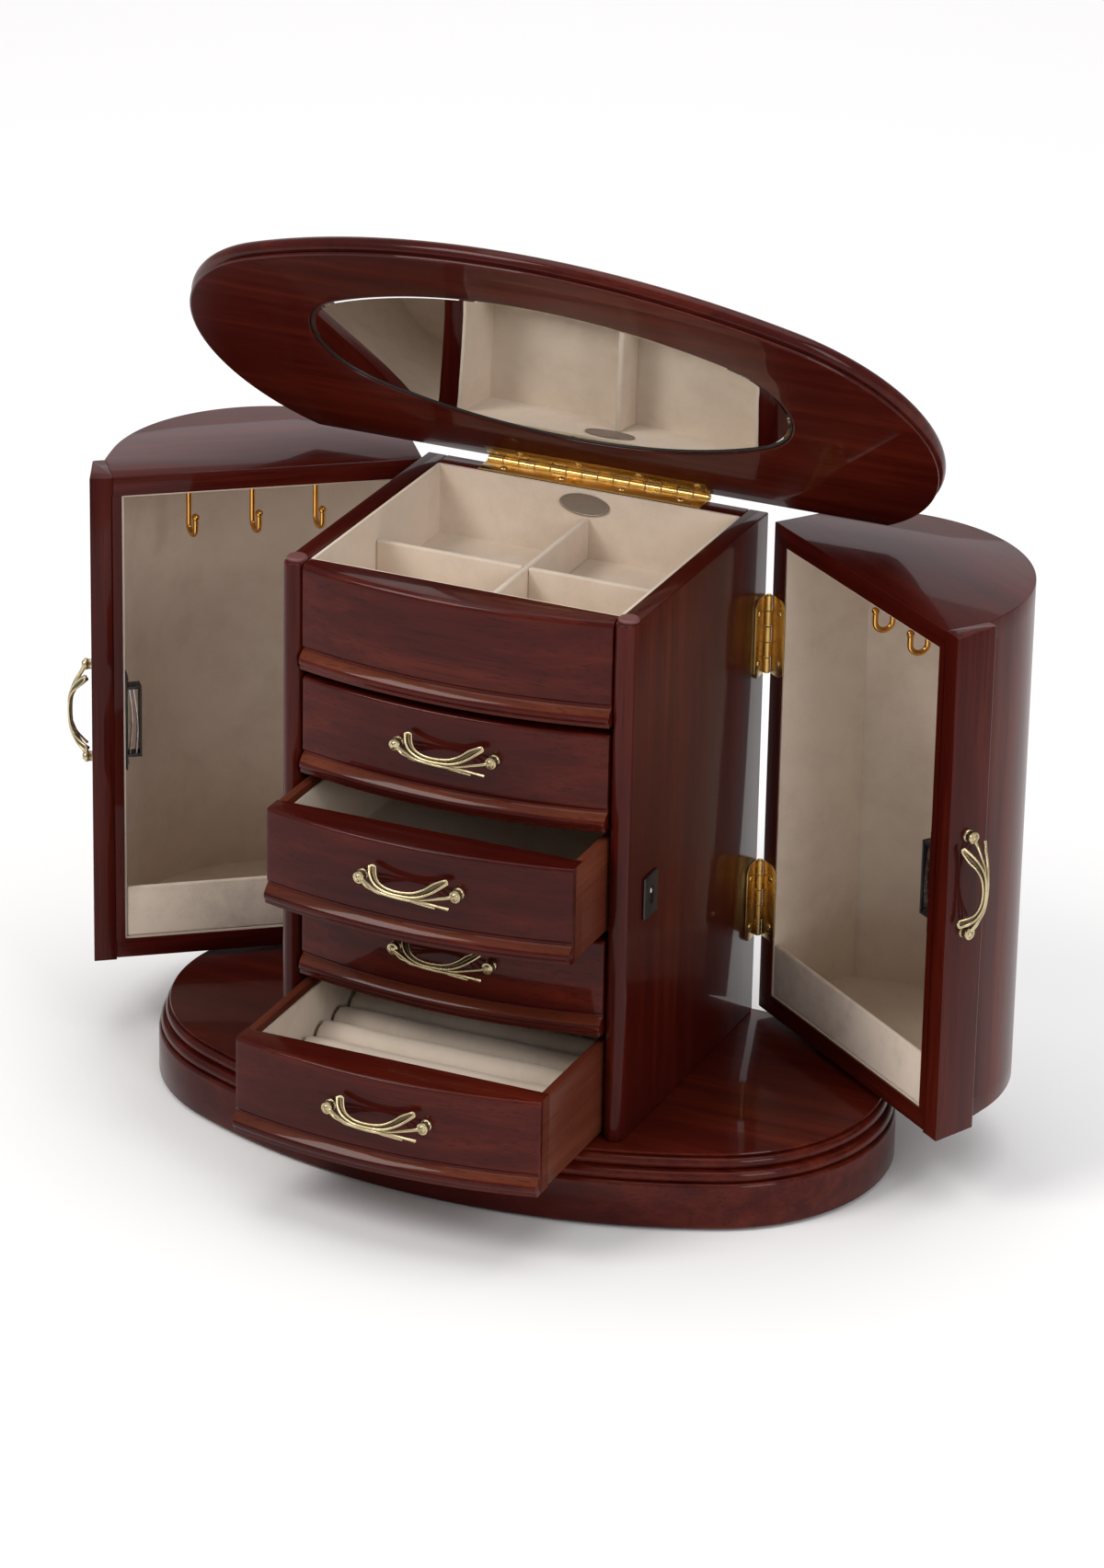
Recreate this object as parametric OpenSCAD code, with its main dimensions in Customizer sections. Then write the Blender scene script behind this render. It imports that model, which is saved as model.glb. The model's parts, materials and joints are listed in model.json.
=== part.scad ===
// Jewellery chest with drawers: an oval tabletop chest with a mirror lid, two D-shaped
// doors for necklaces and four bowed drawers. Millimetres, +Z up, the front faces -Y.

/* [Base and lid outline] */
// Overall width of the oval base
base_w = 382; // [340:1:420]
// Depth of the full oval, before its back is cut flat
oval_d = 228.8; // [200:0.2:250]
// Radius of the oval's two ends
end_r = 92; // [80:1:100]
// Height of the base's straight side
skirt_h = 24.6; // [18:0.2:32]
// Height of the stepped moulding above it
moulding_h = 14.4; // [10:0.2:20]
// Thickness of the lid board
lid_t = 11; // [8:0.5:14]
// How far the lid is open in the rest pose, degrees
lid_open = 48.9; // [0:0.1:100]

/* [Chest] */
// Outside width of the chest between its doors
chest_w = 181.2; // [160:0.2:200]
// Height of the chest above the base
chest_h = 266.4; // [240:0.2:290]
// Thickness of the side, back and front boards
wall = 10.3; // [8:0.1:13]
// Distance from one drawer to the next, upwards
pitch = 53; // [50:0.5:56]
// Height of a drawer front
front_h = 49; // [44:0.5:52]
// Depth of the lined tray under the lid
tray_depth = 36; // [25:0.5:45]
// Height of the tray dividers
divider_h = 21; // [15:0.5:32]

/* [Drawers] */
// Radius of the bowed fronts
bow_r = 305.4; // [250:1:400]
// How far drawer 2 is pulled out in the rest pose
open_2 = 38; // [0:1:110]
// How far drawer 4 is pulled out in the rest pose
open_4 = 71; // [0:1:110]
// Thickness of the drawer sides
side_t = 4; // [3:0.5:6]
// Number of ring rolls in drawer 4
rolls = 7; // [3:1:9]
// Diameter of a ring roll
roll_d = 18.2; // [12:0.2:18.4]

/* [Doors] */
// Height of a door
door_h = 259; // [240:0.5:270]
// Length of a door's rim, from its hinge corner to its front
rim_l = 161.5; // [150:0.5:170]
// Width of the flat front strip
strip_w = 24.5; // [20:0.5:30]
// How far both doors are open in the rest pose, degrees
door_open = 53.2; // [0:0.1:110]
// Thickness of the curved wall
curve_t = 5; // [3:0.5:8]
// Height of the pocket at the foot of each door
pocket_h = 27; // [15:1:40]

/* [Hardware] */
// Length of a pull over its two rosettes
pull_l = 58.6; // [50:0.2:70]
// How far a pull stands out
pull_out = 13; // [10:0.5:18]
// Length of the lid's long hinge
lid_hinge_l = 118; // [90:1:140]
// Height of a door hinge
door_hinge_h = 41; // [25:0.5:45]
// Radius of the lid hinge's barrel
barrel_r = 2.0; // [1.5:0.1:3]
// Radius of the door hinges' barrels
door_barrel_r = 1.7; // [1.4:0.1:1.8]

/* [Hidden] */
$fn = 96;
back = 93.5;                       // the chest's back plane
oval_y = 18.5;                     // centre line of the oval
base_back = 96;                    // flat back of the base
lid_y = 17;                        // centre line of the closed lid's oval
lid_over = 2.5;                    // the lid's oval beyond the base's, all round
plateau = skirt_h + moulding_h;
top = plateau + chest_h;
base_a = base_w / 2;
base_b = oval_d / 2;
inner_x = chest_w / 2 - wall;      // inner face of the side boards
post_y = -65.5;                    // centre of the rounded front posts
tray_front = -59.8;                // back face of the fixed top front
lining = 1.5;
first_z = plateau + 1.2;           // foot of the lowest drawer front
front_x = 79.3;                    // half width of the drawer fronts
front_back_y = -58;                // back face of a closed drawer front
drawer_back_y = 79;
door_x = 94.5;                     // rim plane of a closed door
door_back = back - 1.2;
door_front = door_back - rim_l;
door_z = plateau + 3;
door_in = 10;                      // door curve, inwards from the base's side
rim = 10;                          // thickness of a door's top, bottom and stile
strip_fore = 4.3;                  // the strip's inner edge in front of the door's front
strip_turn = 11.8;                 // how far the strip is turned back, degrees
pin_x = (chest_w / 2 + door_x) / 2;
pin_y = back - 1;
door_hinges = [222.3, 81.5];       // foot of each door hinge
lid_gap = 2;                       // from the chest's top to the closed lid
piv_y = back + barrel_r + 0.1;
piv_z = top + lid_gap / 2;
lid_back = back;
mirror_y = lid_back - 94.3;        // centre of the mirror, lid closed
mirror_a = 124;
mirror_b = 63.8;
mirror_r = 44;
wood = [0.27, 0.09, 0.07];
dark = [0.18, 0.05, 0.04];
suede = [0.84, 0.78, 0.69];
brass = [0.80, 0.62, 0.25];
antique = [0.62, 0.54, 0.36];
eps = 0.02;

// ---------- shared shapes ----------

// The oval is made of two end arcs and two long arcs that meet without a corner.
function long_k(a, b, r) = (pow(a - r, 2) - pow(b - r, 2)) / (2 * (b - r));

// Oval slab: d0 and d1 are how far its lower and upper edges are inset.
module oval(a, b, r, h, d0 = 0, d1 = 0) {
    k = long_k(a, b, r);
    xt = (a - r) * (1 + (r - max(d0, d1)) / sqrt(pow(a - r, 2) + k * k));
    for (s = [-1, 1]) translate([s * (a - r), 0, 0]) cylinder(h = h, r1 = r - d0, r2 = r - d1);
    intersection() {
        translate([0, k, 0]) cylinder(h = h, r1 = k + b - d0, r2 = k + b - d1, $fn = 240);
        translate([0, -k, 0]) cylinder(h = h, r1 = k + b - d0, r2 = k + b - d1, $fn = 240);
        translate([-xt, -b, 0]) cube([2 * xt, 2 * b, h]);
    }
}

// Base-shaped slab from z0, cut flat at the back.
module base_slab(z0, h, d0, d1, yback) {
    intersection() {
        translate([0, oval_y, z0]) oval(base_a, base_b, end_r, h, d0, d1);
        translate([-base_a, -120, z0]) cube([2 * base_a, 120 + yback, h]);
    }
}

// Screw with a domed head whose face looks along +Z.
module screw(head_r = 1.9) {
    intersection() {
        translate([0, 0, -head_r]) sphere(r = head_r * 1.42, $fn = 32);
        cylinder(h = 2, r = head_r, $fn = 32);
    }
}

// Pull with its two bosses on the XZ plane, standing out along -Y.
module pull() {
    half = pull_l / 2 - 4.2;
    sag = pull_out - 6.4;
    arc_r = (pow(half - 2, 2) + sag * sag) / (2 * sag);
    ang = asin((half - 2) / arc_r);
    for (s = [-1, 1])
        translate([s * half, 0, 0]) rotate([90, 0, 0]) {
            cylinder(h = 4.6, r = 4.2);
            translate([0, 0, 4.6]) cylinder(h = 1.4, r1 = 3.4, r2 = 2.4);
        }
    translate([0, arc_r - pull_out, -3.2]) rotate([0, 0, 270 - ang])
        rotate_extrude(angle = 2 * ang) translate([arc_r - 2.6, 0]) square([2.6, 6.4]);
}

// Bowed block between the plane y = yb and the bow of radius r, |x| < hx.
module bowed(hx, yb, r, z0, z1) {
    intersection() {
        translate([0, oval_y + long_k(base_a, base_b, end_r), z0])
            cylinder(h = z1 - z0, r = r, $fn = 240);
        translate([-hx, -120, z0]) cube([2 * hx, 120 + yb, z1 - z0]);
    }
}

// Front board with its lip: a face, a step and a rounded bead along the foot.
module front_board(hx, yb, z0, h) {
    bowed(hx, yb, bow_r, z0 + 9, z0 + h);
    bowed(hx, yb, bow_r + 1.6, z0 + 7.5, z0 + 9);
    bowed(hx, yb, bow_r + 3.4, z0 + 1.2, z0 + 7.5);
    bowed(hx, yb, bow_r + 1.8, z0, z0 + 1.2);
}

// ---------- base and chest ----------

module base_felt() color([0.1, 0.09, 0.09]) base_slab(0, 1, 6, 6, base_back - 6);

module base_skirt() color(wood) base_slab(1, skirt_h - 1, 0, 0, base_back);

module base_moulding() color(wood) {
    base_slab(skirt_h, 1.2, 2.2, 2.2, base_back);
    base_slab(skirt_h + 1.2, 4.8, 1.2, 1.2, base_back);
    base_slab(skirt_h + 6, 1.2, 4.4, 4.4, base_back);
    base_slab(skirt_h + 7.2, 4.8, 3.4, 3.4, base_back);
    base_slab(skirt_h + 12, moulding_h - 12, 5.4, 5.4, base_back);
}

module side_board(s) color(wood) {
    r = wall / 2;
    translate([s > 0 ? inner_x : -inner_x - wall, post_y, plateau])
        cube([wall, back - post_y, chest_h]);
    translate([s * (inner_x + r), post_y, plateau]) cylinder(h = chest_h, r = r);
}
module side_left() side_board(-1);
module side_right() side_board(1);

module back_panel() color(wood)
    translate([-inner_x, back - wall, plateau]) cube([2 * inner_x, wall, chest_h]);

module top_front() color(wood) {
    z0 = first_z + 4 * pitch;
    bowed(inner_x, tray_front, bow_r, z0 + 9, top - 2);
    bowed(inner_x, tray_front, bow_r - 2, top - 2, top);
    bowed(inner_x, tray_front, bow_r + 1.6, z0 + 7.5, z0 + 9);
    bowed(inner_x, tray_front, bow_r + 3.4, z0 + 1.2, z0 + 7.5);
    bowed(inner_x, tray_front, bow_r + 1.8, z0, z0 + 1.2);
}

// Dust boards between the drawers, and the raised floor of the tray.
module shelves() color(dark) {
    for (i = [1:4])
        translate([-inner_x, -59, first_z + i * pitch - 3.4])
            cube([2 * inner_x, back - wall + 59, 2.8]);
    translate([-inner_x, tray_front, top - tray_depth - lining - 4])
        cube([2 * inner_x, back - wall - tray_front, 4]);
}

module tray_lining() color(suede) {
    zf = top - tray_depth - lining;
    yb = back - wall;
    h = tray_depth - 0.6;
    translate([-inner_x, tray_front, zf]) cube([2 * inner_x, yb - tray_front, lining]);
    for (x = [-inner_x, inner_x - lining])
        translate([x, tray_front + lining, zf + lining])
            cube([lining, yb - tray_front - 2 * lining, h]);
    for (y = [tray_front, yb - lining])
        translate([-inner_x, y, zf + lining]) cube([2 * inner_x, lining, h]);
}

module tray_dividers() color(suede) {
    zf = top - tray_depth;
    y0 = tray_front + lining;
    y1 = back - wall - lining;
    translate([-1.6, y0, zf]) cube([3.2, y1 - y0, divider_h]);
    for (x = [-inner_x + lining, 1.6 + eps])
        translate([x, 9, zf]) cube([inner_x - lining - 1.6 - eps, 3.2, divider_h]);
}

// Blank oval plate on the tray's back wall.
module tray_plaque() color([0.45, 0.42, 0.38])
    translate([-1, back - wall - lining, top - 8.2]) rotate([90, 0, 0])
        intersection() {
            oval(13.2, 5.6, 4.6, 0.8, 0, 0.3);
            translate([-14, -6, 0]) cube([28, 12, 0.8]);
        }

module lid_bumpers() color([0.36, 0.16, 0.15])
    for (s = [-1, 1]) translate([s * (inner_x + wall / 2), post_y + 2.3, top]) {
        cylinder(h = 0.9, r = 5.1);
        translate([0, 0, 0.9]) cylinder(h = 0.7, r1 = 5.1, r2 = 4.4);
    }

module strike_plates() color([0.15, 0.14, 0.14])
    for (s = [-1, 1]) translate([s * chest_w / 2, -43, 159]) rotate([0, s * 90, 0])
        difference() {
            intersection() {
                cylinder(h = 1.6, r = 12);
                translate([-10.8, -7.8, 0]) cube([21.6, 15.6, 1.6]);
            }
            translate([-4, -1.2, 0.6]) cube([8, 2.4, 2]);
        }

// ---------- hinges ----------

knuckles = 14;
knuckle_l = lid_hinge_l / knuckles;
module lid_knuckles(first) {
    for (i = [first:2:knuckles - 1])
        translate([-lid_hinge_l / 2 + i * knuckle_l + 0.1, piv_y, piv_z]) rotate([0, 90, 0])
            difference() {
                cylinder(h = knuckle_l - 0.2, r = barrel_r, $fn = 32);
                translate([0, 0, -1]) cylinder(h = knuckle_l + 2, r = 0.85, $fn = 32);
            }
}
module lid_hinge_chest_leaf() color(brass) {
    lid_knuckles(0);
    translate([-lid_hinge_l / 2, back - 11, top]) cube([lid_hinge_l, 11 - 0.05, 0.8]);
    for (i = [0:2:knuckles - 1])
        translate([-lid_hinge_l / 2 + i * knuckle_l + 0.1, back - 0.06, top])
            cube([knuckle_l - 0.2, barrel_r - 0.6, 0.8]);
}

module door_barrels(z0, first) {
    k = door_hinge_h / 5;
    for (i = [first:2:4])
        translate([pin_x, pin_y, z0 + i * k + 0.1]) difference() {
            cylinder(h = k - 0.2, r = door_barrel_r, $fn = 32);
            translate([0, 0, -1]) cylinder(h = k + 2, r = 0.75, $fn = 32);
        }
}
// Tabs that join a door hinge's leaf to its own knuckles.
module hinge_tabs(x, z0, first) {
    k = door_hinge_h / 5;
    for (i = [first:2:4])
        translate([x, pin_y - 1.9, z0 + i * k + 0.1]) cube([0.7, 1.1, k - 0.2]);
}
module door_hinge_chest_leaves() color(brass)
    for (s = [0, 1]) mirror([s, 0, 0]) for (z0 = door_hinges) {
        door_barrels(z0, 0);
        translate([chest_w / 2, pin_y - 12.6, z0]) cube([0.7, 10.8, door_hinge_h]);
        hinge_tabs(chest_w / 2, z0, 0);
    }

module hinge_pins() color([0.7, 0.6, 0.35]) {
    translate([-lid_hinge_l / 2, piv_y, piv_z]) rotate([0, 90, 0])
        cylinder(h = lid_hinge_l, r = 0.8, $fn = 32);
    for (s = [-1, 1]) for (z0 = door_hinges)
        translate([s * pin_x, pin_y, z0]) cylinder(h = door_hinge_h, r = 0.7, $fn = 32);
}

lid_screw_x = [-47, -16, 16, 47];
module chest_screws() color(brass) {
    for (x = lid_screw_x) translate([x, back - 6.4, top + 0.8]) scale(0.5) screw(3.2);
    for (s = [0, 1]) mirror([s, 0, 0]) for (z0 = door_hinges) for (z = [7.5, door_hinge_h - 7.5])
        translate([chest_w / 2 + 0.7, pin_y - 8, z0 + z]) rotate([0, 90, 0]) scale(0.4) screw(4.4);
}

// ---------- lid ----------

module lid_pose() translate([0, piv_y, piv_z]) rotate([-lid_open, 0, 0])
    translate([0, -piv_y, -piv_z]) children();

module lid_slab(z, h, d0, d1) {
    intersection() {
        translate([0, lid_y, z])
            oval(base_a + lid_over, base_b + lid_over, end_r + lid_over, h, d0, d1);
        translate([-base_a - 5, -120, z]) cube([2 * base_a + 10, 120 + lid_back, h]);
    }
}
module mirror_oval(z, h, d) translate([0, mirror_y, z])
    oval(mirror_a - d, mirror_b - d, mirror_r - d, h);

module lid_board() color(wood) {
    z = top + lid_gap;
    lid_pose() difference() {
        union() {
            lid_slab(z, 1, 1.2, 1.2);
            lid_slab(z + 1, 1.4, 3, 3);
            lid_slab(z + 2.4, lid_t - 4.4, 0, 0);
            lid_slab(z + lid_t - 2, 2, 1.8, 1.8);
        }
        mirror_oval(z - 1, 6, 0);
        translate([-lid_hinge_l / 2 - 0.3, lid_back - 10, z - 1])
            cube([lid_hinge_l + 0.6, 20, 1.8]);
    }
}
module mirror_frame() color(dark) lid_pose() difference() {
    mirror_oval(top + lid_gap, 1.2, 0.05);
    mirror_oval(top + lid_gap - 1, 4, 1.4);
}
module lid_mirror() color([0.8, 0.84, 0.86]) lid_pose() mirror_oval(top + lid_gap + 1.2, 3.8, 0.3);

module lid_hinge_leaf() color(brass) lid_pose() {
    z = top + lid_gap;
    lid_knuckles(1);
    translate([-lid_hinge_l / 2, lid_back - 9.7, z]) cube([lid_hinge_l, 9.65, 0.8]);
    for (i = [1:2:knuckles - 1])
        translate([-lid_hinge_l / 2 + i * knuckle_l + 0.1, lid_back - 0.06, z])
            cube([knuckle_l - 0.2, barrel_r - 0.6, 0.8]);
}
module lid_screws() color(brass) lid_pose()
    for (x = lid_screw_x) translate([x + 7, lid_back - 6, top + lid_gap])
        rotate([180, 0, 0]) scale(0.4) screw(4);

// ---------- doors (drawn closed on the right, mirrored for the left) ----------

module door_pose(s) mirror([s < 0 ? 1 : 0, 0, 0])
    translate([pin_x, pin_y, 0]) rotate([0, 0, door_open])
        translate([-pin_x, -pin_y, 0]) children();

// D-shaped slab inset by d from the door's outside.
module d_slab(z0, h, d) {
    intersection() {
        translate([0, oval_y, z0]) oval(base_a, base_b, end_r, h, door_in + d, door_in + d);
        translate([door_x + d, door_front + 7.4 + d, z0])
            cube([base_a, rim_l - 7.4 - 2 * d, h]);
    }
}
module door_plate(z0) {
    d_slab(z0, rim, 0);
}
module door_top(s) color(wood) door_pose(s) door_plate(door_z + door_h - rim);
module door_bottom(s) color(wood) door_pose(s) door_plate(door_z);

// Curved wall with its flat hinge-side board.
module door_wall(s) color(wood) door_pose(s) difference() {
    d_slab(door_z + rim, door_h - 2 * rim, 0);
    translate([0, 0, door_z + rim - 1]) intersection() {
        translate([0, oval_y, 0]) oval(base_a, base_b, end_r, door_h,
            door_in + curve_t, door_in + curve_t);
        translate([door_x - 1, door_front + 7.4 + 3, 0])
            cube([base_a, rim_l - 7.4 - 3 - rim, door_h]);
    }
    translate([door_x - 1, door_front, door_z + rim - 1]) cube([18.5, 11.7, door_h]);
}

// Flat front strip, turned back a little at its outer side, with the stile behind it.
module door_stile(s) color(wood) door_pose(s) {
    difference() {
        translate([door_x, door_front - strip_fore, door_z - 1])
            cube([strip_w, 7.35 + strip_fore, door_h + 1]);
        translate([door_x, door_front - strip_fore, door_z - 2]) rotate([0, 0, strip_turn])
            translate([-10, -20, 0]) cube([60, 20, door_h + 4]);
    }
    translate([door_x, door_front + 7.35 + eps, door_z + rim + 0.05])
        cube([17.4, 4.2, door_h - 2 * rim - 0.1]);
}

module door_lining(s) color(suede) door_pose(s) {
    z0 = door_z + rim;
    h = door_h - 2 * rim;
    y0 = door_front + 11.6;
    y1 = door_back - rim;
    for (z = [z0, z0 + h - 1])
        translate([0, 0, z]) intersection() {
            translate([0, oval_y, 0]) oval(base_a, base_b, end_r, 1,
                door_in + curve_t + 0.1, door_in + curve_t + 0.1);
            translate([door_x + 1, y0, 0]) cube([base_a, y1 - y0, 1]);
        }
    translate([0, 0, z0 + 1]) difference() {
        intersection() {
            translate([0, oval_y, 0]) oval(base_a, base_b, end_r, h - 2,
                door_in + curve_t + 0.1, door_in + curve_t + 0.1);
            translate([door_x + 1, y0, 0]) cube([base_a, y1 - y0, h - 2]);
        }
        translate([0, 0, -1]) intersection() {
            translate([0, oval_y, 0]) oval(base_a, base_b, end_r, h,
                door_in + curve_t + 1.3, door_in + curve_t + 1.3);
            translate([door_x, y0 + 1.2, 0]) cube([base_a, y1 - y0 - 2.4, h]);
        }
    }
}

module door_pocket(s) color(suede) door_pose(s)
    translate([door_x + 1, door_front + 13, door_z + rim + 1.2])
        cube([2.4, rim_l - 24.4, pocket_h]);

// Three hooks under the door's top, each a shank, a curl and a ball tip.
hook_y = [46, 78, 110];
module door_hooks(s) color(brass) door_pose(s)
    for (d = hook_y) translate([door_x + 40, door_back - d, door_z + door_h - rim - 1])
        rotate([0, 0, -12]) {
            translate([0, 0, -1.2]) cylinder(h = 1.2, r = 4, $fn = 32);
            translate([0, 0, -31]) cylinder(h = 29.8, r = 1.45, $fn = 32);
            translate([-4.5, 0, -31]) rotate([90, 0, 0]) rotate([0, 0, 180])
                rotate_extrude(angle = 180, $fn = 48) translate([4.5, 0]) circle(r = 1.45, $fn = 24);
            translate([-9, 0, -31]) cylinder(h = 5, r = 1.45, $fn = 32);
            translate([-9, 0, -25.2]) sphere(r = 2, $fn = 32);
        }

// Spring catch: a bracket on the stile, with two steel springs inside it.
module door_catch(s) color([0.2, 0.2, 0.21]) door_pose(s) translate([door_x + 1.2, 0, 0]) {
    y = door_front + 13;
    translate([0, y, 144]) cube([7, 1, 52]);
    for (z = [151, 187.4]) translate([0, y + 1, z]) cube([7, 6, 1.6]);
    translate([0, y + 7, 151]) cube([7, 1, 38]);
    for (q = [[1.6, 3], [4.2, 5.6]]) hull() {
        translate([1.4, y + q[0], 186.4]) cube([3.6, 0.7, 1]);
        translate([1.4, y + q[1], 166]) cube([3.6, 0.7, 1]);
    }
    for (q = [[3, 1.6], [5.6, 4.8]]) hull() {
        translate([1.4, y + q[0], 166]) cube([3.6, 0.7, 1]);
        translate([1.4, y + q[1], 152.6]) cube([3.6, 0.7, 1]);
    }
}

module door_pull(s) color(antique) door_pose(s)
    translate([door_x, door_front - strip_fore, 172.5]) rotate([0, 0, strip_turn])
        translate([strip_w / 2 / cos(strip_turn), 0, 0]) rotate([0, 90, 0]) pull();

module door_hinge(s) color(brass) door_pose(s) for (z0 = door_hinges) {
    door_barrels(z0, 1);
    translate([door_x - 0.7, pin_y - 12.6, z0]) cube([0.7, 10.8, door_hinge_h]);
    hinge_tabs(door_x - 0.7, z0, 1);
    for (z = [7.5, door_hinge_h - 7.5])
        translate([door_x - 0.7, pin_y - 8, z0 + z]) rotate([0, -90, 0]) scale(0.4) screw(4.4);
}

module left_door_top() door_top(-1);
module left_door_bottom() door_bottom(-1);
module left_door_wall() door_wall(-1);
module left_door_stile() door_stile(-1);
module left_door_lining() door_lining(-1);
module left_door_pocket() door_pocket(-1);
module left_door_hooks() door_hooks(-1);
module left_door_catch() door_catch(-1);
module left_door_pull() door_pull(-1);
module left_door_hinges() door_hinge(-1);
module right_door_top() door_top(1);
module right_door_bottom() door_bottom(1);
module right_door_wall() door_wall(1);
module right_door_stile() door_stile(1);
module right_door_lining() door_lining(1);
module right_door_pocket() door_pocket(1);
module right_door_hooks() door_hooks(1);
module right_door_catch() door_catch(1);
module right_door_pull() door_pull(1);
module right_door_hinges() door_hinge(1);

// ---------- drawers, numbered from the top ----------

function drawer_z(n) = first_z + (4 - n) * pitch;
function drawer_out(n) = n == 2 ? open_2 : n == 4 ? open_4 : 0;

module drawer_front(n) color(wood) translate([0, -drawer_out(n), 0])
    front_board(front_x, front_back_y, drawer_z(n), front_h);

module drawer_box(n) color([0.42, 0.2, 0.13]) translate([0, -drawer_out(n), drawer_z(n)]) {
    y0 = front_back_y;
    d = drawer_back_y - y0;
    for (x = [-front_x + 0.5, front_x - 0.5 - side_t])
        translate([x, y0, 1]) cube([side_t, d, front_h - 1.6]);
    w = 2 * (front_x - 0.5 - side_t - eps);
    translate([-w / 2, drawer_back_y - side_t, 1]) cube([w, side_t, front_h - 1.6]);
    translate([-w / 2, y0, 1.6]) cube([w, d - side_t - eps, 3]);
}

module drawer_lining(n) color(suede) translate([0, -drawer_out(n), drawer_z(n)]) {
    x = front_x - 0.5 - side_t;
    y0 = front_back_y;
    y1 = drawer_back_y - side_t;
    h = front_h - 10;
    translate([-x, y0, 4.6]) cube([2 * x, y1 - y0, 1]);
    for (s = [-x, x - 1]) translate([s, y0 + 1, 5.6]) cube([1, y1 - y0 - 2, h]);
    for (y = [y0, y1 - 1]) translate([-x, y, 5.6]) cube([2 * x, 1, h]);
}

module drawer_pull(n) color(antique)
    translate([0, -drawer_out(n) + oval_y + long_k(base_a, base_b, end_r) - bow_r + 0.9,
        drawer_z(n) + 30])
        difference() {
            pull();
            translate([-60, -0.9, -10]) bow_cut();
        }

// The bosses' feet are cut to the front's bow.
module bow_cut() translate([60, bow_r, 0]) cylinder(h = 20, r = bow_r + 0.03, $fn = 240);

module drawer_1_front() drawer_front(1);
module drawer_1_box() drawer_box(1);
module drawer_1_lining() drawer_lining(1);
module drawer_1_pull() drawer_pull(1);
module drawer_2_front() drawer_front(2);
module drawer_2_box() drawer_box(2);
module drawer_2_lining() drawer_lining(2);
module drawer_2_pull() drawer_pull(2);
module drawer_3_front() drawer_front(3);
module drawer_3_box() drawer_box(3);
module drawer_3_lining() drawer_lining(3);
module drawer_3_pull() drawer_pull(3);
module drawer_4_front() drawer_front(4);
module drawer_4_box() drawer_box(4);
module drawer_4_lining() drawer_lining(4);
module drawer_4_pull() drawer_pull(4);

module drawer_4_ring_rolls() color(suede) {
    x = front_x - 0.5 - side_t - 1.3;
    y0 = front_back_y + 1.3 - open_4;
    step = (drawer_back_y - side_t - front_back_y - 2.6) / rolls;
    z0 = drawer_z(4) + 5.7;
    translate([-x, y0, z0]) cube([2 * x, rolls * step, 2.95]);
    for (i = [0:rolls - 1]) translate([-x, y0 + (i + 0.5) * step, z0 + 3 + roll_d / 2])
        rotate([0, 90, 0]) cylinder(h = 2 * x, r = roll_d / 2, $fn = 48);
}

base_felt();
base_skirt();
base_moulding();
side_left();
side_right();
back_panel();
top_front();
shelves();
tray_lining();
tray_dividers();
tray_plaque();
lid_bumpers();
strike_plates();
lid_hinge_chest_leaf();
door_hinge_chest_leaves();
hinge_pins();
chest_screws();
lid_board();
lid_mirror();
mirror_frame();
lid_hinge_leaf();
lid_screws();
left_door_top();
left_door_bottom();
left_door_wall();
left_door_stile();
left_door_lining();
left_door_pocket();
left_door_hooks();
left_door_catch();
left_door_pull();
left_door_hinges();
right_door_top();
right_door_bottom();
right_door_wall();
right_door_stile();
right_door_lining();
right_door_pocket();
right_door_hooks();
right_door_catch();
right_door_pull();
right_door_hinges();
drawer_1_front();
drawer_1_box();
drawer_1_lining();
drawer_1_pull();
drawer_2_front();
drawer_2_box();
drawer_2_lining();
drawer_2_pull();
drawer_3_front();
drawer_3_box();
drawer_3_lining();
drawer_3_pull();
drawer_4_front();
drawer_4_box();
drawer_4_lining();
drawer_4_pull();
drawer_4_ring_rolls();
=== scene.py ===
# Jewellery chest: an oval base, a chest with bowed drawers, two D-shaped doors and a
# mirror lid. Every piece is in metres in the CAD frame: +X right, +Y to the back, +Z up.
import json
import math
import random

import bmesh
import bpy
from mathutils import Matrix, Vector


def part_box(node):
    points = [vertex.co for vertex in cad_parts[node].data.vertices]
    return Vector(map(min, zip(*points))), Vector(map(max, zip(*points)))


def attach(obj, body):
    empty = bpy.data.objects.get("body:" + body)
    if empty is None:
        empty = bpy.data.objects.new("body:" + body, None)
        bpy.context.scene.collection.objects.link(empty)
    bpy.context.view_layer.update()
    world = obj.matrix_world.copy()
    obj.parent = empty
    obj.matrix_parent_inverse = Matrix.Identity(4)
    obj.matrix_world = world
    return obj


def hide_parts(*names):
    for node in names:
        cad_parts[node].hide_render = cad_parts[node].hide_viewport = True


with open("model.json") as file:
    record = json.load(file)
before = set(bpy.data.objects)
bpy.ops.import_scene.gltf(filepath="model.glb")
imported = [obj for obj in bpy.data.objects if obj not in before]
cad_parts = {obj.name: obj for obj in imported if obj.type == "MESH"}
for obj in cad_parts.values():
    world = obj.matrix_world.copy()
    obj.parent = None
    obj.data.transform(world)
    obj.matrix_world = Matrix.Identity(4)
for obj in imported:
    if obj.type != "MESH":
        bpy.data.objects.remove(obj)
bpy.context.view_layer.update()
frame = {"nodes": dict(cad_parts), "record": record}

MM = 0.001
SPIN_STEP = math.radians(3.0)

# ------------------------------------------------------------------ what the CAD says

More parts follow.
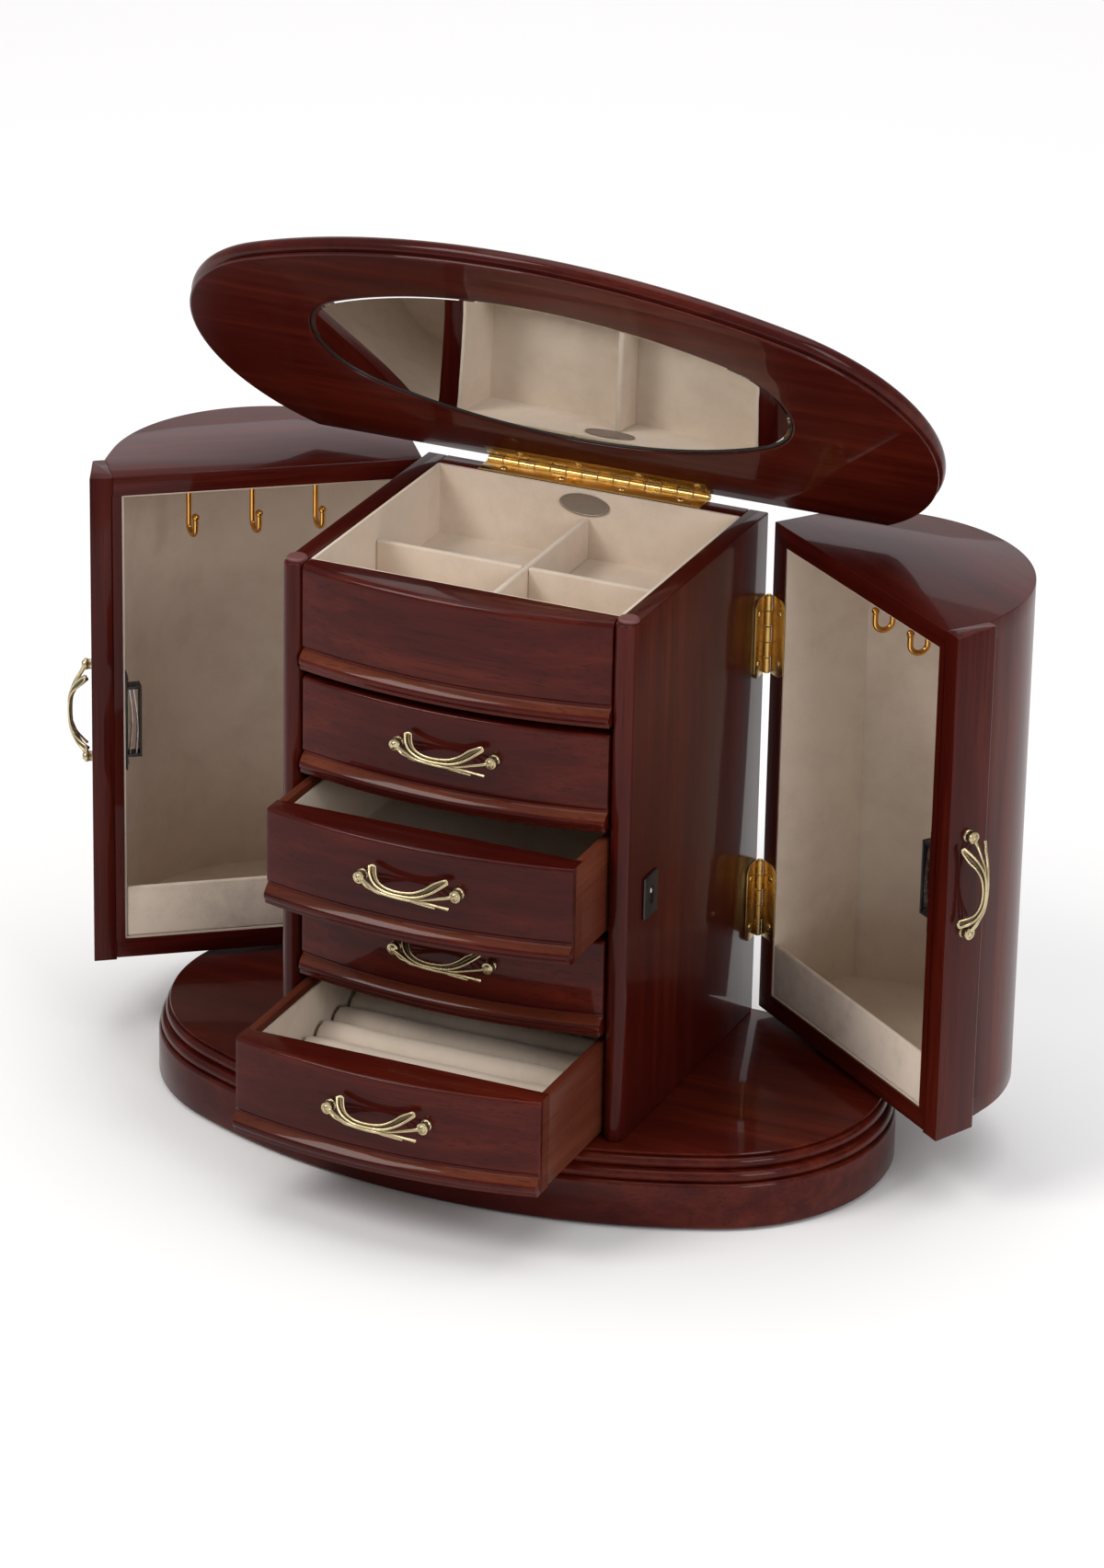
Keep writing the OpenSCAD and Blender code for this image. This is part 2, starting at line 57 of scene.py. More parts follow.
base_lo, base_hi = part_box("base_skirt")
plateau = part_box("base_moulding")[1][2]
chest_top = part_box("back_panel")[1][2]
chest_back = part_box("back_panel")[1][1]
side_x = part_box("side_right")[1][0]
inner_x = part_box("side_right")[0][0]
joints = {j["name"]: j for j in frame["record"]["behaviour"]["joints"]}
lid_joint = joints["lid_hinge"]
lid_pivot = Vector(lid_joint["pos_m"])
lid_open = math.radians(-lid_joint["range_deg"][0])
door_joint = joints["right_door_hinge"]
door_pivot = Vector(door_joint["pos_m"])
door_open = math.radians(-door_joint["range_deg"][0])

# The oval is drawn with two end arcs and two long arcs that meet without a corner.
END_R = 92 * MM
OVAL_B = 114.4 * MM
OVAL_Y = 18.5 * MM
LID_Y = 17 * MM
BASE_A = base_hi[0]
DOOR_IN = 10 * MM
DOOR_X = 94.5 * MM
DOOR_BACK = 92.3 * MM
DOOR_FRONT = DOOR_BACK - 161.5 * MM
BOW_R = 305.4 * MM


def drawer_shift(n):
    return joints["drawer_%d_slide" % n]["range_m"][0]


# ------------------------------------------------------------------ shader helper


class Socket:
    """One value in a material. Arithmetic on it adds Math nodes."""

    def __init__(self, tree, out):
        self.tree, self.out = tree, out

    def math(self, op, *others):
        n = self.tree.nodes.new("ShaderNodeMath")
        n.operation = op
        for i, v in enumerate((self,) + others):
            plug(self.tree, n.inputs[i], v)
        return Socket(self.tree, n.outputs[0])

    def __add__(self, o): return self.math("ADD", o)
    def __radd__(self, o): return self.math("ADD", o)
    def __sub__(self, o): return self.math("SUBTRACT", o)
    def __rsub__(self, o): return value_math(self.tree, "SUBTRACT", o, self)
    def __mul__(self, o): return self.math("MULTIPLY", o)
    def __rmul__(self, o): return self.math("MULTIPLY", o)
    def __truediv__(self, o): return self.math("DIVIDE", o)
    def __pow__(self, o): return self.math("POWER", o)
    def __lt__(self, o): return self.math("LESS_THAN", o)
    def __gt__(self, o): return self.math("GREATER_THAN", o)
    def clamp(self): return self.math("MINIMUM", 1.0).math("MAXIMUM", 0.0)


def value_math(tree, op, a, b):
    n = tree.nodes.new("ShaderNodeMath")
    n.operation = op
    plug(tree, n.inputs[0], a)
    plug(tree, n.inputs[1], b)
    return Socket(tree, n.outputs[0])


def plug(tree, socket, value):
    if isinstance(value, Socket):
        tree.links.new(value.out, socket)
    elif isinstance(value, (tuple, list)) and len(value) == 3 and socket.type == "RGBA":
        socket.default_value = (*value, 1.0)
    else:
        socket.default_value = value


class Finish:
    """A material being made, with its one shader."""

    def __init__(self, name):
        self.mat = bpy.data.materials.new(name)
        self.mat.use_nodes = True
        self.tree = self.mat.node_tree
        self.tree.nodes.clear()
        self.shader = self.tree.nodes.new("ShaderNodeBsdfPrincipled")
        end = self.tree.nodes.new("ShaderNodeOutputMaterial")
        self.tree.links.new(self.shader.outputs[0], end.inputs[0])

    def node(self, kind, settings=None, out=0, **inputs):
        n = self.tree.nodes.new(kind)
        stops = None
        for k, v in (settings or {}).items():
            if k == "stops":
                stops = v
            else:
                setattr(n, k, v)
        if stops:
            ramp = n.color_ramp
            while len(ramp.elements) < len(stops):
                ramp.elements.new(0.5)
            for e, (p, c) in zip(ramp.elements, stops):
                e.position = p
                e.color = (*c, 1.0) if len(c) == 3 else c
        for k, v in inputs.items():
            key = k.replace("_", " ")
            plug(self.tree, n.inputs[int(key[1:])] if key[0] == "i" and key[1:].isdigit()
                 else n.inputs[key], v)
        return Socket(self.tree, n.outputs[out])

    def place(self, turn=(0, 0, 0), scale=(1, 1, 1)):
        """Object coordinates, turned by the angles and then stretched."""
        c = self.tree.nodes.new("ShaderNodeTexCoord")
        v = Socket(self.tree, c.outputs["Object"])
        v = self.node("ShaderNodeMapping", {"vector_type": "TEXTURE"}, Vector=v, Rotation=turn)
        return self.node("ShaderNodeMapping", Vector=v, Scale=scale)

    def noise(self, at, scale, detail=4.0, rough=0.55, distortion=0.0):
        return self.node("ShaderNodeTexNoise", {}, 0, Vector=at, Scale=scale, Detail=detail,
                         Roughness=rough, Distortion=distortion)

    def ramp(self, fac, stops):
        return self.node("ShaderNodeValToRGB", {"stops": stops}, Fac=fac)

    def mix(self, fac, a, b, blend="MIX"):
        n = self.tree.nodes.new("ShaderNodeMix")
        n.data_type = "RGBA"
        n.blend_type = blend
        plug(self.tree, n.inputs[0], fac)
        plug(self.tree, n.inputs[6], a)
        plug(self.tree, n.inputs[7], b)
        return Socket(self.tree, n.outputs[2])

    def bump(self, height, strength, distance):
        return self.node("ShaderNodeBump", {}, 0, Height=height, Strength=strength,
                         Distance=distance)

    def set(self, **inputs):
        for k, v in inputs.items():
            plug(self.tree, self.shader.inputs[k.replace("_", " ")], v)
        return self.mat


# ------------------------------------------------------------------ finishes


def wood_finish(name, grain="X", turn=(0, 0, 0), dark=(0.018, 0.0011, 0.0008),
                mid=(0.050, 0.0042, 0.0022), light=(0.115, 0.0150, 0.0062),
                coat=0.40, rough=0.34, coat_rough=0.045):
    """Red-brown lacquered wood. grain is the axis that the fibres follow."""
    f = Finish(name)
    along, across = 5.0, 120.0
    s = {"X": (along, across, across), "Y": (across, along, across),
         "Z": (across, across, along)}[grain]
    at = f.place(turn, s)
    fibre = f.noise(at, 1.0, 6.0, 0.62, 0.4)
    broad = {"X": (1.6, 14, 14), "Y": (14, 1.6, 14), "Z": (14, 14, 1.6)}[grain]
    flow = f.noise(f.place(turn, broad), 1.0, 3.0, 0.5, 1.2)
    cloud = f.noise(f.place(turn, (9, 9, 9)), 1.0, 2.0, 0.5)
    pore_s = {"X": (26, 900, 900), "Y": (900, 26, 900), "Z": (900, 900, 26)}[grain]
    pores = f.noise(f.place(turn, pore_s), 1.0, 2.0, 0.5)
    pore = f.ramp(pores, [(0.0, (1, 1, 1)), (0.36, (1, 1, 1)), (0.42, (0, 0, 0)), (1.0, (0, 0, 0))])
    tone = (fibre * 0.42 + flow * 0.38 + cloud * 0.2)
    colour = f.ramp(tone, [(0.30, dark), (0.50, mid), (0.70, light)])
    colour = f.mix(pore * 0.45, colour, dark)
    f.set(Base_Color=colour, Roughness=(fibre * 0.10 + (rough - 0.05)),
          Coat_Weight=coat, Coat_Roughness=coat_rough, Coat_IOR=1.36, IOR=1.4,
          Specular_IOR_Level=0.08)
    height = fibre * 0.6 - pore * 0.5 + cloud * 0.8
    return f.set(Normal=f.bump(height, 0.05, 0.0006))


def suede_finish(name, base=(0.70, 0.585, 0.475), deep=(0.60, 0.485, 0.38), nap=1.0):
    """Short-napped suede: mottled where the nap is brushed, with a soft bloom."""
    f = Finish(name)
    brushed = f.noise(f.place(scale=(22, 22, 22)), 1.0, 3.0, 0.55, 0.8)
    mottled = f.noise(f.place(scale=(110, 110, 110)), 1.0, 4.0, 0.6)
    fuzz = f.noise(f.place(scale=(1500, 1500, 1500)), 1.0, 3.0, 0.7)
    tone = brushed * 0.45 + mottled * 0.3 + fuzz * 0.25
    colour = f.ramp(tone, [(0.30, deep), (0.52, base), (0.75, tuple(min(1, c * 1.07) for c in base))])
    f.set(Base_Color=colour, Roughness=(fuzz * 0.1 + 0.86), Sheen_Weight=0.35,
          Sheen_Roughness=0.5, Specular_IOR_Level=0.2)
    plug(f.tree, f.shader.inputs["Sheen Tint"], (1.0, 0.95, 0.88, 1.0))
    return f.set(Normal=f.bump(fuzz * 0.6 + mottled * 0.5, 0.35 * nap, 0.0003))


def metal_finish(name, colour, dirt, rough=0.2, grime=0.5, scale=260.0, turn=(0, 0, 0), bump=0.12):
    """Metal that is brighter where it is rubbed and darker in patches of tarnish."""
    f = Finish(name)
    patch = f.noise(f.place(turn, (scale, scale, scale)), 1.0, 5.0, 0.62)
    fine = f.noise(f.place(turn, (scale * 7, scale * 7, scale * 7)), 1.0, 2.0, 0.5)
    mask = f.ramp(patch, [(0.42, (0, 0, 0)), (0.68, (1, 1, 1))])
    f.set(Base_Color=f.mix(mask * grime, colour, dirt), Metallic=1.0,
          Roughness=(mask * 0.18 + fine * 0.08 + (rough - 0.04)))
    return f.set(Normal=f.bump(patch * 0.7 + fine * 0.3, bump, 0.0002))


def mirror_finish(name):
    f = Finish(name)
    haze = f.noise(f.place(scale=(30, 30, 30)), 1.0, 3.0, 0.5)
    return f.set(Base_Color=(0.88, 0.89, 0.88), Metallic=1.0, Roughness=(haze * 0.02 + 0.005))


def plain_finish(name, colour, rough, spec=0.4, scale=300.0, metallic=0.0, bump=0.1):
    f = Finish(name)
    patch = f.noise(f.place(scale=(scale, scale, scale)), 1.0, 4.0, 0.6)
    dim = tuple(c * 0.7 for c in colour)
    f.set(Base_Color=f.mix(patch, dim, colour), Roughness=(patch * 0.12 + (rough - 0.06)),
          Metallic=metallic, Specular_IOR_Level=spec)
    return f.set(Normal=f.bump(patch, bump, 0.0002))


lid_turn = (-lid_open, 0, 0)
left_turn, right_turn = (0, 0, -door_open), (0, 0, door_open)
# Lighter wood tones for the fronts' ledges: a painted highlight that stands for the light from above on their upward
# faces. The lid copy is made but no part uses it.
LIT_LEDGE_TONES = dict(dark=(0.040, 0.0065, 0.0030), mid=(0.090, 0.0170, 0.0065), light=(0.17, 0.040, 0.015))
INSIDE = dict(dark=(0.040, 0.008, 0.0040), mid=(0.085, 0.018, 0.0085), light=(0.14, 0.038, 0.018),
              coat=0.35, rough=0.45, coat_rough=0.2)
mahogany_x = wood_finish("mahogany_along_x")
mahogany_y = wood_finish("mahogany_along_y", "Y")
mahogany_z = wood_finish("mahogany_upright", "Z")
mahogany_lid = wood_finish("mahogany_lid", "X", lid_turn)
ledge_highlight_wood = wood_finish("mahogany_ledge_painted_highlight", "X", **LIT_LEDGE_TONES)
lid_bead_highlight_wood = wood_finish("mahogany_lid_bead_painted_highlight", "X", lid_turn, **LIT_LEDGE_TONES)
door_wood = {-1: wood_finish("mahogany_left_door", "Z", left_turn),
             1: wood_finish("mahogany_right_door", "Z", right_turn)}
door_plate_wood = {-1: wood_finish("mahogany_left_door_boards", "Y", left_turn),
                   1: wood_finish("mahogany_right_door_boards", "Y", right_turn)}
inner_wood_x = wood_finish("box_wood_along_x", "X", **INSIDE)
inner_wood_y = wood_finish("box_wood_along_y", "Y", **INSIDE)
suede = suede_finish("cream_suede")
suede_pocket = suede_finish("cream_suede_pocket", (0.70, 0.58, 0.475), (0.46, 0.37, 0.30), 1.4)
polished_brass = metal_finish("polished_brass", (0.66, 0.45, 0.17), (0.52, 0.33, 0.11), 0.27, 0.15,
                              60.0, bump=0.0)
hook_brass = metal_finish("hook_brass", (0.80, 0.42, 0.10), (0.5, 0.25, 0.05), 0.14, 0.3, 120.0,
                          bump=0.03)
antique_brass = metal_finish("antique_brass", (0.60, 0.50, 0.30), (0.24, 0.18, 0.10), 0.22, 0.5,
                             120.0, bump=0.03)
dark_bronze = metal_finish("dark_bronze", (0.13, 0.095, 0.055), (0.06, 0.045, 0.03), 0.3, 0.5, 160.0,
                           bump=0.03)
dark_steel = metal_finish("dark_steel", (0.30, 0.30, 0.32), (0.10, 0.10, 0.11), 0.2, 0.6)
black_steel = plain_finish("blackened_steel", (0.035, 0.032, 0.032), 0.35, 0.5, metallic=0.6)
mirror_glass = mirror_finish("mirror_silver")
plaque_metal = plain_finish("taupe_plate", (0.30, 0.245, 0.20), 0.42, 0.5, 700, 0.35)
bright_steel = metal_finish("bright_steel", (0.66, 0.63, 0.63), (0.4, 0.38, 0.38), 0.16, 0.3, 200.0, bump=0.03)
bumper_plastic = plain_finish("bumper_red_brown", (0.17, 0.062, 0.058), 0.5, 0.4, 500)
felt = plain_finish("base_felt_dark", (0.02, 0.018, 0.018), 0.95, 0.1, 900, bump=0.5)

# ------------------------------------------------------------------ modelling helpers


def clear_selection():
    if bpy.context.object and bpy.context.object.mode != "OBJECT":
        bpy.ops.object.mode_set(mode="OBJECT")
    bpy.ops.object.select_all(action="DESELECT")


def edit(mode="VERT"):
    bpy.ops.object.mode_set(mode="EDIT")
    bpy.ops.mesh.select_mode(type=mode)


def done():
    bpy.ops.object.mode_set(mode="OBJECT")
    return bpy.context.object


def turned(obj, matrix):
    """Move the piece, and leave its object at the origin."""
    clear_selection()
    obj.select_set(True)
    bpy.context.view_layer.objects.active = obj
    obj.matrix_world = matrix @ obj.matrix_world
    bpy.ops.object.transform_apply(location=True, rotation=True, scale=True)
    if matrix.determinant() < 0:
        outward(obj)
    return obj


def outward(obj):
    clear_selection()
    obj.select_set(True)
    bpy.context.view_layer.objects.active = obj
    edit()
    bpy.ops.mesh.select_all(action="SELECT")
    bpy.ops.mesh.normals_make_consistent(inside=False)
    return done()


def sealed(obj):
    """Merge doubled points and close any open end with a face."""
    clear_selection()
    obj.select_set(True)
    bpy.context.view_layer.objects.active = obj
    edit()
    bpy.ops.mesh.select_all(action="SELECT")
    bpy.ops.mesh.remove_doubles(threshold=1e-6)
    bpy.ops.mesh.select_all(action="SELECT")
    bpy.ops.mesh.fill_holes(sides=0)
    done()
    return outward(obj)


def modify(obj, kind, **settings):
    clear_selection()
    obj.select_set(True)
    bpy.context.view_layer.objects.active = obj
    m = obj.modifiers.new(kind.lower(), kind)
    for k, v in settings.items():
        setattr(m, k, v)
    bpy.ops.object.modifier_apply(modifier=m.name)
    return obj


def smooth(obj, degrees=35):
    clear_selection()
    obj.select_set(True)
    bpy.context.view_layer.objects.active = obj
    bpy.ops.object.shade_smooth_by_angle(angle=math.radians(degrees))
    return obj


def eased(obj, width, steps=3, degrees=38):
    """Round the piece's sharp edges."""
    modify(obj, "BEVEL", width=width, segments=steps, limit_method="ANGLE",
           angle_limit=math.radians(degrees), harden_normals=False, miter_outer="MITER_ARC")
    return smooth(obj)


def copied(obj, name, matrix=None):
    clear_selection()
    obj.select_set(True)
    bpy.context.view_layer.objects.active = obj
    bpy.ops.object.duplicate(linked=False)
    new = bpy.context.object
    new.name = name
    if matrix is not None:
        turned(new, matrix)
    return new


def joined(objs, name):
    clear_selection()
    for o in objs:
        o.select_set(True)
    bpy.context.view_layer.objects.active = objs[0]
    bpy.ops.object.join()
    objs[0].name = name
    return objs[0]


def started(name, points, closed=False):
    """A new piece that is one chain of points: the first vertex of a plane, extruded."""
    clear_selection()
    bpy.ops.mesh.primitive_plane_add(size=0.01)
    obj = bpy.context.object
    obj.name = name
    edit()
    bpy.ops.mesh.select_all(action="SELECT")
    bpy.ops.mesh.merge(type="CENTER")
    bpy.ops.transform.translate(value=points[0])
    for a, b in zip(points, points[1:]):
        bpy.ops.mesh.extrude_vertices_move(
            TRANSFORM_OT_translate={"value": Vector(b) - Vector(a)})
    if closed:
        bpy.ops.mesh.select_all(action="SELECT")
        bpy.ops.mesh.remove_doubles(threshold=1e-7)
    bpy.ops.mesh.select_all(action="SELECT")
    return obj


def spin(angle, centre, axis=(0, 0, 1), step=SPIN_STEP):
    bpy.ops.mesh.spin(steps=max(2, int(abs(angle) / step + 0.5)), angle=-angle,
                      center=centre, axis=axis)


def cut(point, normal, fill=True):
    """Cut away what lies on the side that the normal points to."""
    bpy.ops.mesh.select_all(action="SELECT")
    bpy.ops.mesh.bisect(plane_co=point, plane_no=normal, use_fill=fill, clear_outer=True)


def oval_measures(a, b, r):
    k = ((a - r) ** 2 - (b - r) ** 2) / (2 * (b - r))
    return k, math.atan2(a - r, k)


def oval_turned(name, profile, a=None, b=OVAL_B, r=END_R, centre=(0.0, OVAL_Y), step=SPIN_STEP,
                ring=False):
    """A profile of (inset, height) points swept round the oval, as a turner sweeps a bead.
    Open profiles are capped at both ends, ring profiles are left as a closed tube."""
    a = a or BASE_A
    k, phi = oval_measures(a, b, r)
    cx, cy = centre
    pts = [(cx, cy - b + d, z) for d, z in profile]
    obj = started(name, pts + ([pts[0]] if ring else []), closed=ring)
    far, near = (cx, cy + k, 0), (cx, cy - k, 0)
    right, left = (cx + a - r, cy, 0), (cx - a + r, cy, 0)
    spin(phi, far, step=step / 2)
    spin(math.pi - 2 * phi, right, step=step)
    spin(2 * phi, near, step=step / 2)
    spin(math.pi - 2 * phi, left, step=step)
    spin(phi, far, step=step / 2)
    bpy.ops.mesh.select_all(action="SELECT")
    bpy.ops.mesh.remove_doubles(threshold=2e-6)
    if not ring:
        bpy.ops.mesh.select_all(action="DESELECT")
        bpy.ops.mesh.select_non_manifold(extend=False)
        bpy.ops.mesh.edge_face_add()
        bpy.ops.mesh.select_all(action="DESELECT")
        bpy.ops.mesh.select_non_manifold(extend=False)
        bpy.ops.mesh.edge_face_add()
    bpy.ops.mesh.select_all(action="SELECT")
    bpy.ops.mesh.normals_make_consistent(inside=False)
    return obj


def quarter(cx, cz, rx, rz, a0, a1, n=5):
    """Points of an arc in a profile, angles in degrees, 0 = inwards, 90 = up."""
    out = []
    for i in range(n + 1):
        t = math.radians(a0 + (a1 - a0) * i / n)
        out.append((cx + rx * math.cos(t), cz + rz * math.sin(t)))
    return out


def rested(obj, body, *nodes, material=None, slot=None):
    if material is not None:
        obj.data.materials.clear()
        obj.data.materials.append(material)
    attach(obj, body)
    if nodes:
        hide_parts(*nodes)
    return obj


def paint_faces(obj, material, test):
    """Give the faces whose centre and normal pass the test another material."""
    obj.data.materials.append(material)
    i = len(obj.data.materials) - 1
    for p in obj.data.polygons:
        if test(p.center, p.normal):
            p.material_index = i


def around(pivot, angle, axis):
    return Matrix.Translation(pivot) @ Matrix.Rotation(angle, 4, axis) @ Matrix.Translation(-pivot)


lid_matrix = around(lid_pivot, -lid_open, "X")
door_matrix = {1: around(door_pivot, door_open, "Z")}
door_matrix[-1] = Matrix.Scale(-1, 4, (1, 0, 0)) @ door_matrix[1]
side_name = {-1: "left", 1: "right"}

def through(points, steps):
    """More points on a smooth line through the given ones."""
    P = [Vector(q) for q in points]
    P = [P[0] * 2 - P[1]] + P + [P[-1] * 2 - P[-2]]
    out = []
    for i in range(1, len(P) - 2):
        a, b, c, d = P[i - 1], P[i], P[i + 1], P[i + 2]
        for k in range(steps):
            u = k / steps
            out.append(0.5 * (2 * b + (c - a) * u + (2 * a - 5 * b + 4 * c - d) * u * u
                              + (3 * b - a - 3 * c + d) * u ** 3))
    out.append(P[-2])
    return [tuple(q) for q in out]


def turned_shape(name, profile, steps=28):
    """A shape turned on a lathe about Z, from a profile of (radius, height) that starts and
    ends on the axis."""
    pts = [(r, 0, h) for r, h in profile]
    obj = started(name, pts)
    bpy.ops.mesh.spin(steps=steps, angle=2 * math.pi, center=(0, 0, 0), axis=(0, 0, 1))
    bpy.ops.mesh.select_all(action="SELECT")
    bpy.ops.mesh.remove_doubles(threshold=2e-6)
    bpy.ops.mesh.normals_make_consistent(inside=False)
    return done()


def hollowed(obj, cutter):
    """Cut one shape out of another, and throw the cutter away."""
    m = obj.modifiers.new("hollow", "BOOLEAN")
    m.operation = "DIFFERENCE"
    m.solver = "EXACT"
    m.object = cutter
    clear_selection()
    obj.select_set(True)
    bpy.context.view_layer.objects.active = obj
    bpy.ops.object.modifier_apply(modifier=m.name)
    bpy.data.objects.remove(cutter)
    return obj


def slotted_head(name, r, slots=1):
    """A domed screw head with a sunk slot, its flat side on z = 0."""
    head = turned_shape(name, [(0, -0.2 * r), (0.92 * r, -0.2 * r), (r, 0.04 * r), (0.94 * r, 0.2 * r),
                               (0.72 * r, 0.38 * r), (0.38 * r, 0.5 * r), (0, 0.54 * r)], 24)
    for i in range(slots):
        clear_selection()
        bpy.ops.mesh.primitive_cube_add(size=1, location=(0, 0, 0.5 * r),
                                        scale=(2.4 * r, 0.26 * r, 0.5 * r),
                                        rotation=(0, 0, math.radians(35 + 90 * i)))
        cutter = bpy.context.object
        bpy.ops.object.transform_apply(location=True, rotation=True, scale=True)
        hollowed(head, cutter)
    return smooth(head, 35)


screw_model = slotted_head("screw_model", 1.0)
cross_model = slotted_head("cross_screw_model", 1.0, 2)


def placed_screw(at, normal, r, material, model=None, twist=0.0):
    """A copy of the screw head, standing on a face."""
    turn = Vector(normal).to_track_quat("Z", "Y").to_matrix().to_4x4()
    obj = copied(model or screw_model, "screw", Matrix.Translation(at) @ turn
                 @ Matrix.Rotation(twist, 4, "Z") @ Matrix.Scale(r, 4))
    obj.data.materials.clear()
    obj.data.materials.append(material)
    return obj


def flat_plate(name, outline, depth, ease, material, steps=2):
    """A flat plate: the outline's points, given a thickness along depth."""
    obj = started(name, list(outline) + [outline[0]], closed=True)
    bpy.ops.mesh.edge_face_add()
    bpy.ops.mesh.extrude_region_move(TRANSFORM_OT_translate={"value": depth})
    bpy.ops.mesh.select_all(action="SELECT")
    bpy.ops.mesh.normals_make_consistent(inside=False)
    done()
    modify(obj, "BEVEL", width=ease, segments=steps, limit_method="ANGLE",
           angle_limit=math.radians(40))
    obj.data.materials.append(material)
    return smooth(obj, 35)


def barrel(name, start, end, r, material):
    """A hinge knuckle between two points, its ends eased."""
    a, b = Vector(start), Vector(end)
    h = (b - a).length
    e = 0.12 * r
    obj = turned_shape(name, [(0, 0), (r - e, 0), (r, e), (r, h - e), (r - e, h), (0, h)], 28)
    turn = (b - a).to_track_quat("Z", "Y").to_matrix().to_4x4()
    turned(obj, Matrix.Translation(a) @ turn)
    obj.data.materials.append(material)
    return smooth(obj, 35)


# ------------------------------------------------------------------ base


def oval_slab(name, profile, back, **measures):
    obj = oval_turned(name, profile, **measures)
    cut((0, back, 0), (0, 1, 0))
    return done()


def mm(points):
    return [(d * MM, z * MM) for d, z in points]


base_back = base_hi[1]
skirt = oval_slab("base_board", mm([(1.2, 1.0), (0.35, 1.3), (0, 2.1), (0, 23.4), (0.3, 24.2),
                                    (1.0, 24.6)]), base_back)
eased(skirt, 0.8 * MM)
rested(skirt, "chest", "base_skirt", material=mahogany_x, slot="mahogany")

bead_1 = quarter(3.9, 27.7, 2.9, 2.9, 268, 92, 12)
bead_2 = quarter(6.3, 33.9, 2.9, 2.85, 262, 98, 12)
moulding = oval_slab("base_beads", mm([(3.2, 24.5)] + bead_1 + [(4.6, 30.7)] + bead_2
                                      + [(6.6, 36.9), (6.0, 37.2), (5.55, 37.8), (5.4, 38.3),
                                         (5.7, 38.8), (6.6, 39.0)]), base_back - 0.4 * MM)
smooth(moulding, 30)
rested(moulding, "chest", "base_moulding", material=mahogany_x, slot="mahogany")
frame["nodes"]["base_felt"].data.materials[0] = felt

# ------------------------------------------------------------------ boards


def board(name, lo, hi, ease, material, steps=2):
    """A planed board with its edges eased."""
    clear_selection()
    lo, hi = Vector(lo), Vector(hi)
    bpy.ops.mesh.primitive_cube_add(size=1, location=(lo + hi) / 2, scale=hi - lo)
    obj = bpy.context.object
    obj.name = name
    bpy.ops.object.transform_apply(location=True, rotation=True, scale=True)
    modify(obj, "BEVEL", width=ease, segments=steps, limit_method="ANGLE",
           angle_limit=math.radians(40))
    smooth(obj, 30)
    obj.data.materials.append(material)
    return obj


def plan_board(name, outline, z0, z1):
    """A board whose plan is the outline of (x, y) points, standing from z0 to z1."""
    pts = [(x, y, z0) for x, y in outline]
    obj = started(name, pts + [pts[0]], closed=True)
    bpy.ops.mesh.edge_face_add()
    bpy.ops.mesh.extrude_region_move(TRANSFORM_OT_translate={"value": (0, 0, z1 - z0)})
    bpy.ops.mesh.select_all(action="SELECT")
    bpy.ops.mesh.normals_make_consistent(inside=False)
    return done()


post_r = (side_x - inner_x) / 2
post_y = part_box("side_left")[0][1] + post_r
for s in (-1, 1):
    mid = s * (inner_x + post_r)
    arc = [(mid + post_r * math.cos(math.radians(t)), post_y + post_r * math.sin(math.radians(t)))
           for t in range(180, 361, 12)]
    outline = [(mid - post_r, chest_back)] + arc + [(mid + post_r, chest_back)]
    side = plan_board("side_board_" + side_name[s], outline, plateau, chest_top)
    eased(side, 0.9 * MM, 3, 50)
    rested(side, "chest", "side_" + side_name[s], material=mahogany_z, slot="mahogany")
    paint_faces(side, mahogany_y, lambda c, n: n.z > 0.5)

back_board = board("back_board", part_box("back_panel")[0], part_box("back_panel")[1], 0.6 * MM,
                   mahogany_x)
rested(back_board, "chest", "back_panel", slot="mahogany")
shelf_obj = frame["nodes"]["shelves"]
shelf_obj.data.materials[0] = inner_wood_x

# ------------------------------------------------------------------ bowed fronts

oval_k = oval_measures(BASE_A, OVAL_B, END_R)[0]
BOW_Y = OVAL_Y + oval_k


def bowed_front(name, half_w, back_y, z0, height, top_r):
    """A front whose face follows the bow. Its foot has a stepped lip with a rounded nose, a ledge
    that slopes up from it, and a narrow groove above the ledge."""
    lip = [(1.2, 0.3), (1.9, 0.6), (2.1, 1.1), (2.1, 2.6), (2.5, 2.9), (3.0, 3.4), (3.3, 4.2), (3.4, 5.0),
           (3.25, 5.8), (2.85, 6.5)]
    ledge = [(2.2, 7.3), (1.45, 8.1), (0.7, 8.8), (0.0, 9.4), (-0.6, 9.8), (-0.8, 10.5), (-0.6, 11.3), (0.0, 11.9)]
    h = height / MM
    top = [(-top_r + top_r * math.cos(math.radians(t)), h - top_r + top_r * math.sin(math.radians(t)))
           for t in range(0, 91, 18)]
    depth = 30
    profile = [(-depth, 0.3)] + lip + ledge + top + [(-depth, h)]
    # wide enough for both side cuts to meet the whole profile
    span = math.asin((half_w + 4 * MM) / (BOW_R - depth * MM))
    pts = []
    for dr, z in profile:
        r = BOW_R + dr * MM
        pts.append((-r * math.sin(span), BOW_Y - r * math.cos(span), z0 + z * MM))
    obj = started(name, pts + [pts[0]], closed=True)
    spin(2 * span, (0, BOW_Y, 0), step=math.radians(1.0))
    cut((half_w, 0, 0), (1, 0, 0))
    cut((-half_w, 0, 0), (-1, 0, 0))
    cut((0, back_y, 0), (0, 1, 0))
    bpy.ops.mesh.select_all(action="SELECT")
    bpy.ops.mesh.normals_make_consistent(inside=False)
    obj = done()
    eased(obj, 0.7 * MM, 2, 50)
    obj.data.materials.append(mahogany_x)
    obj.data.materials.append(ledge_highlight_wood)
    # painted highlight: the ledge's upward-facing faces get the lighter wood, which stands for the light falling on
    # them from above
    for p in obj.data.polygons:
        if 6.3 * MM < p.center.z - z0 < 9.6 * MM and p.normal.y < -0.2 and p.normal.z > 0.3:
            p.material_index = 1
    return obj


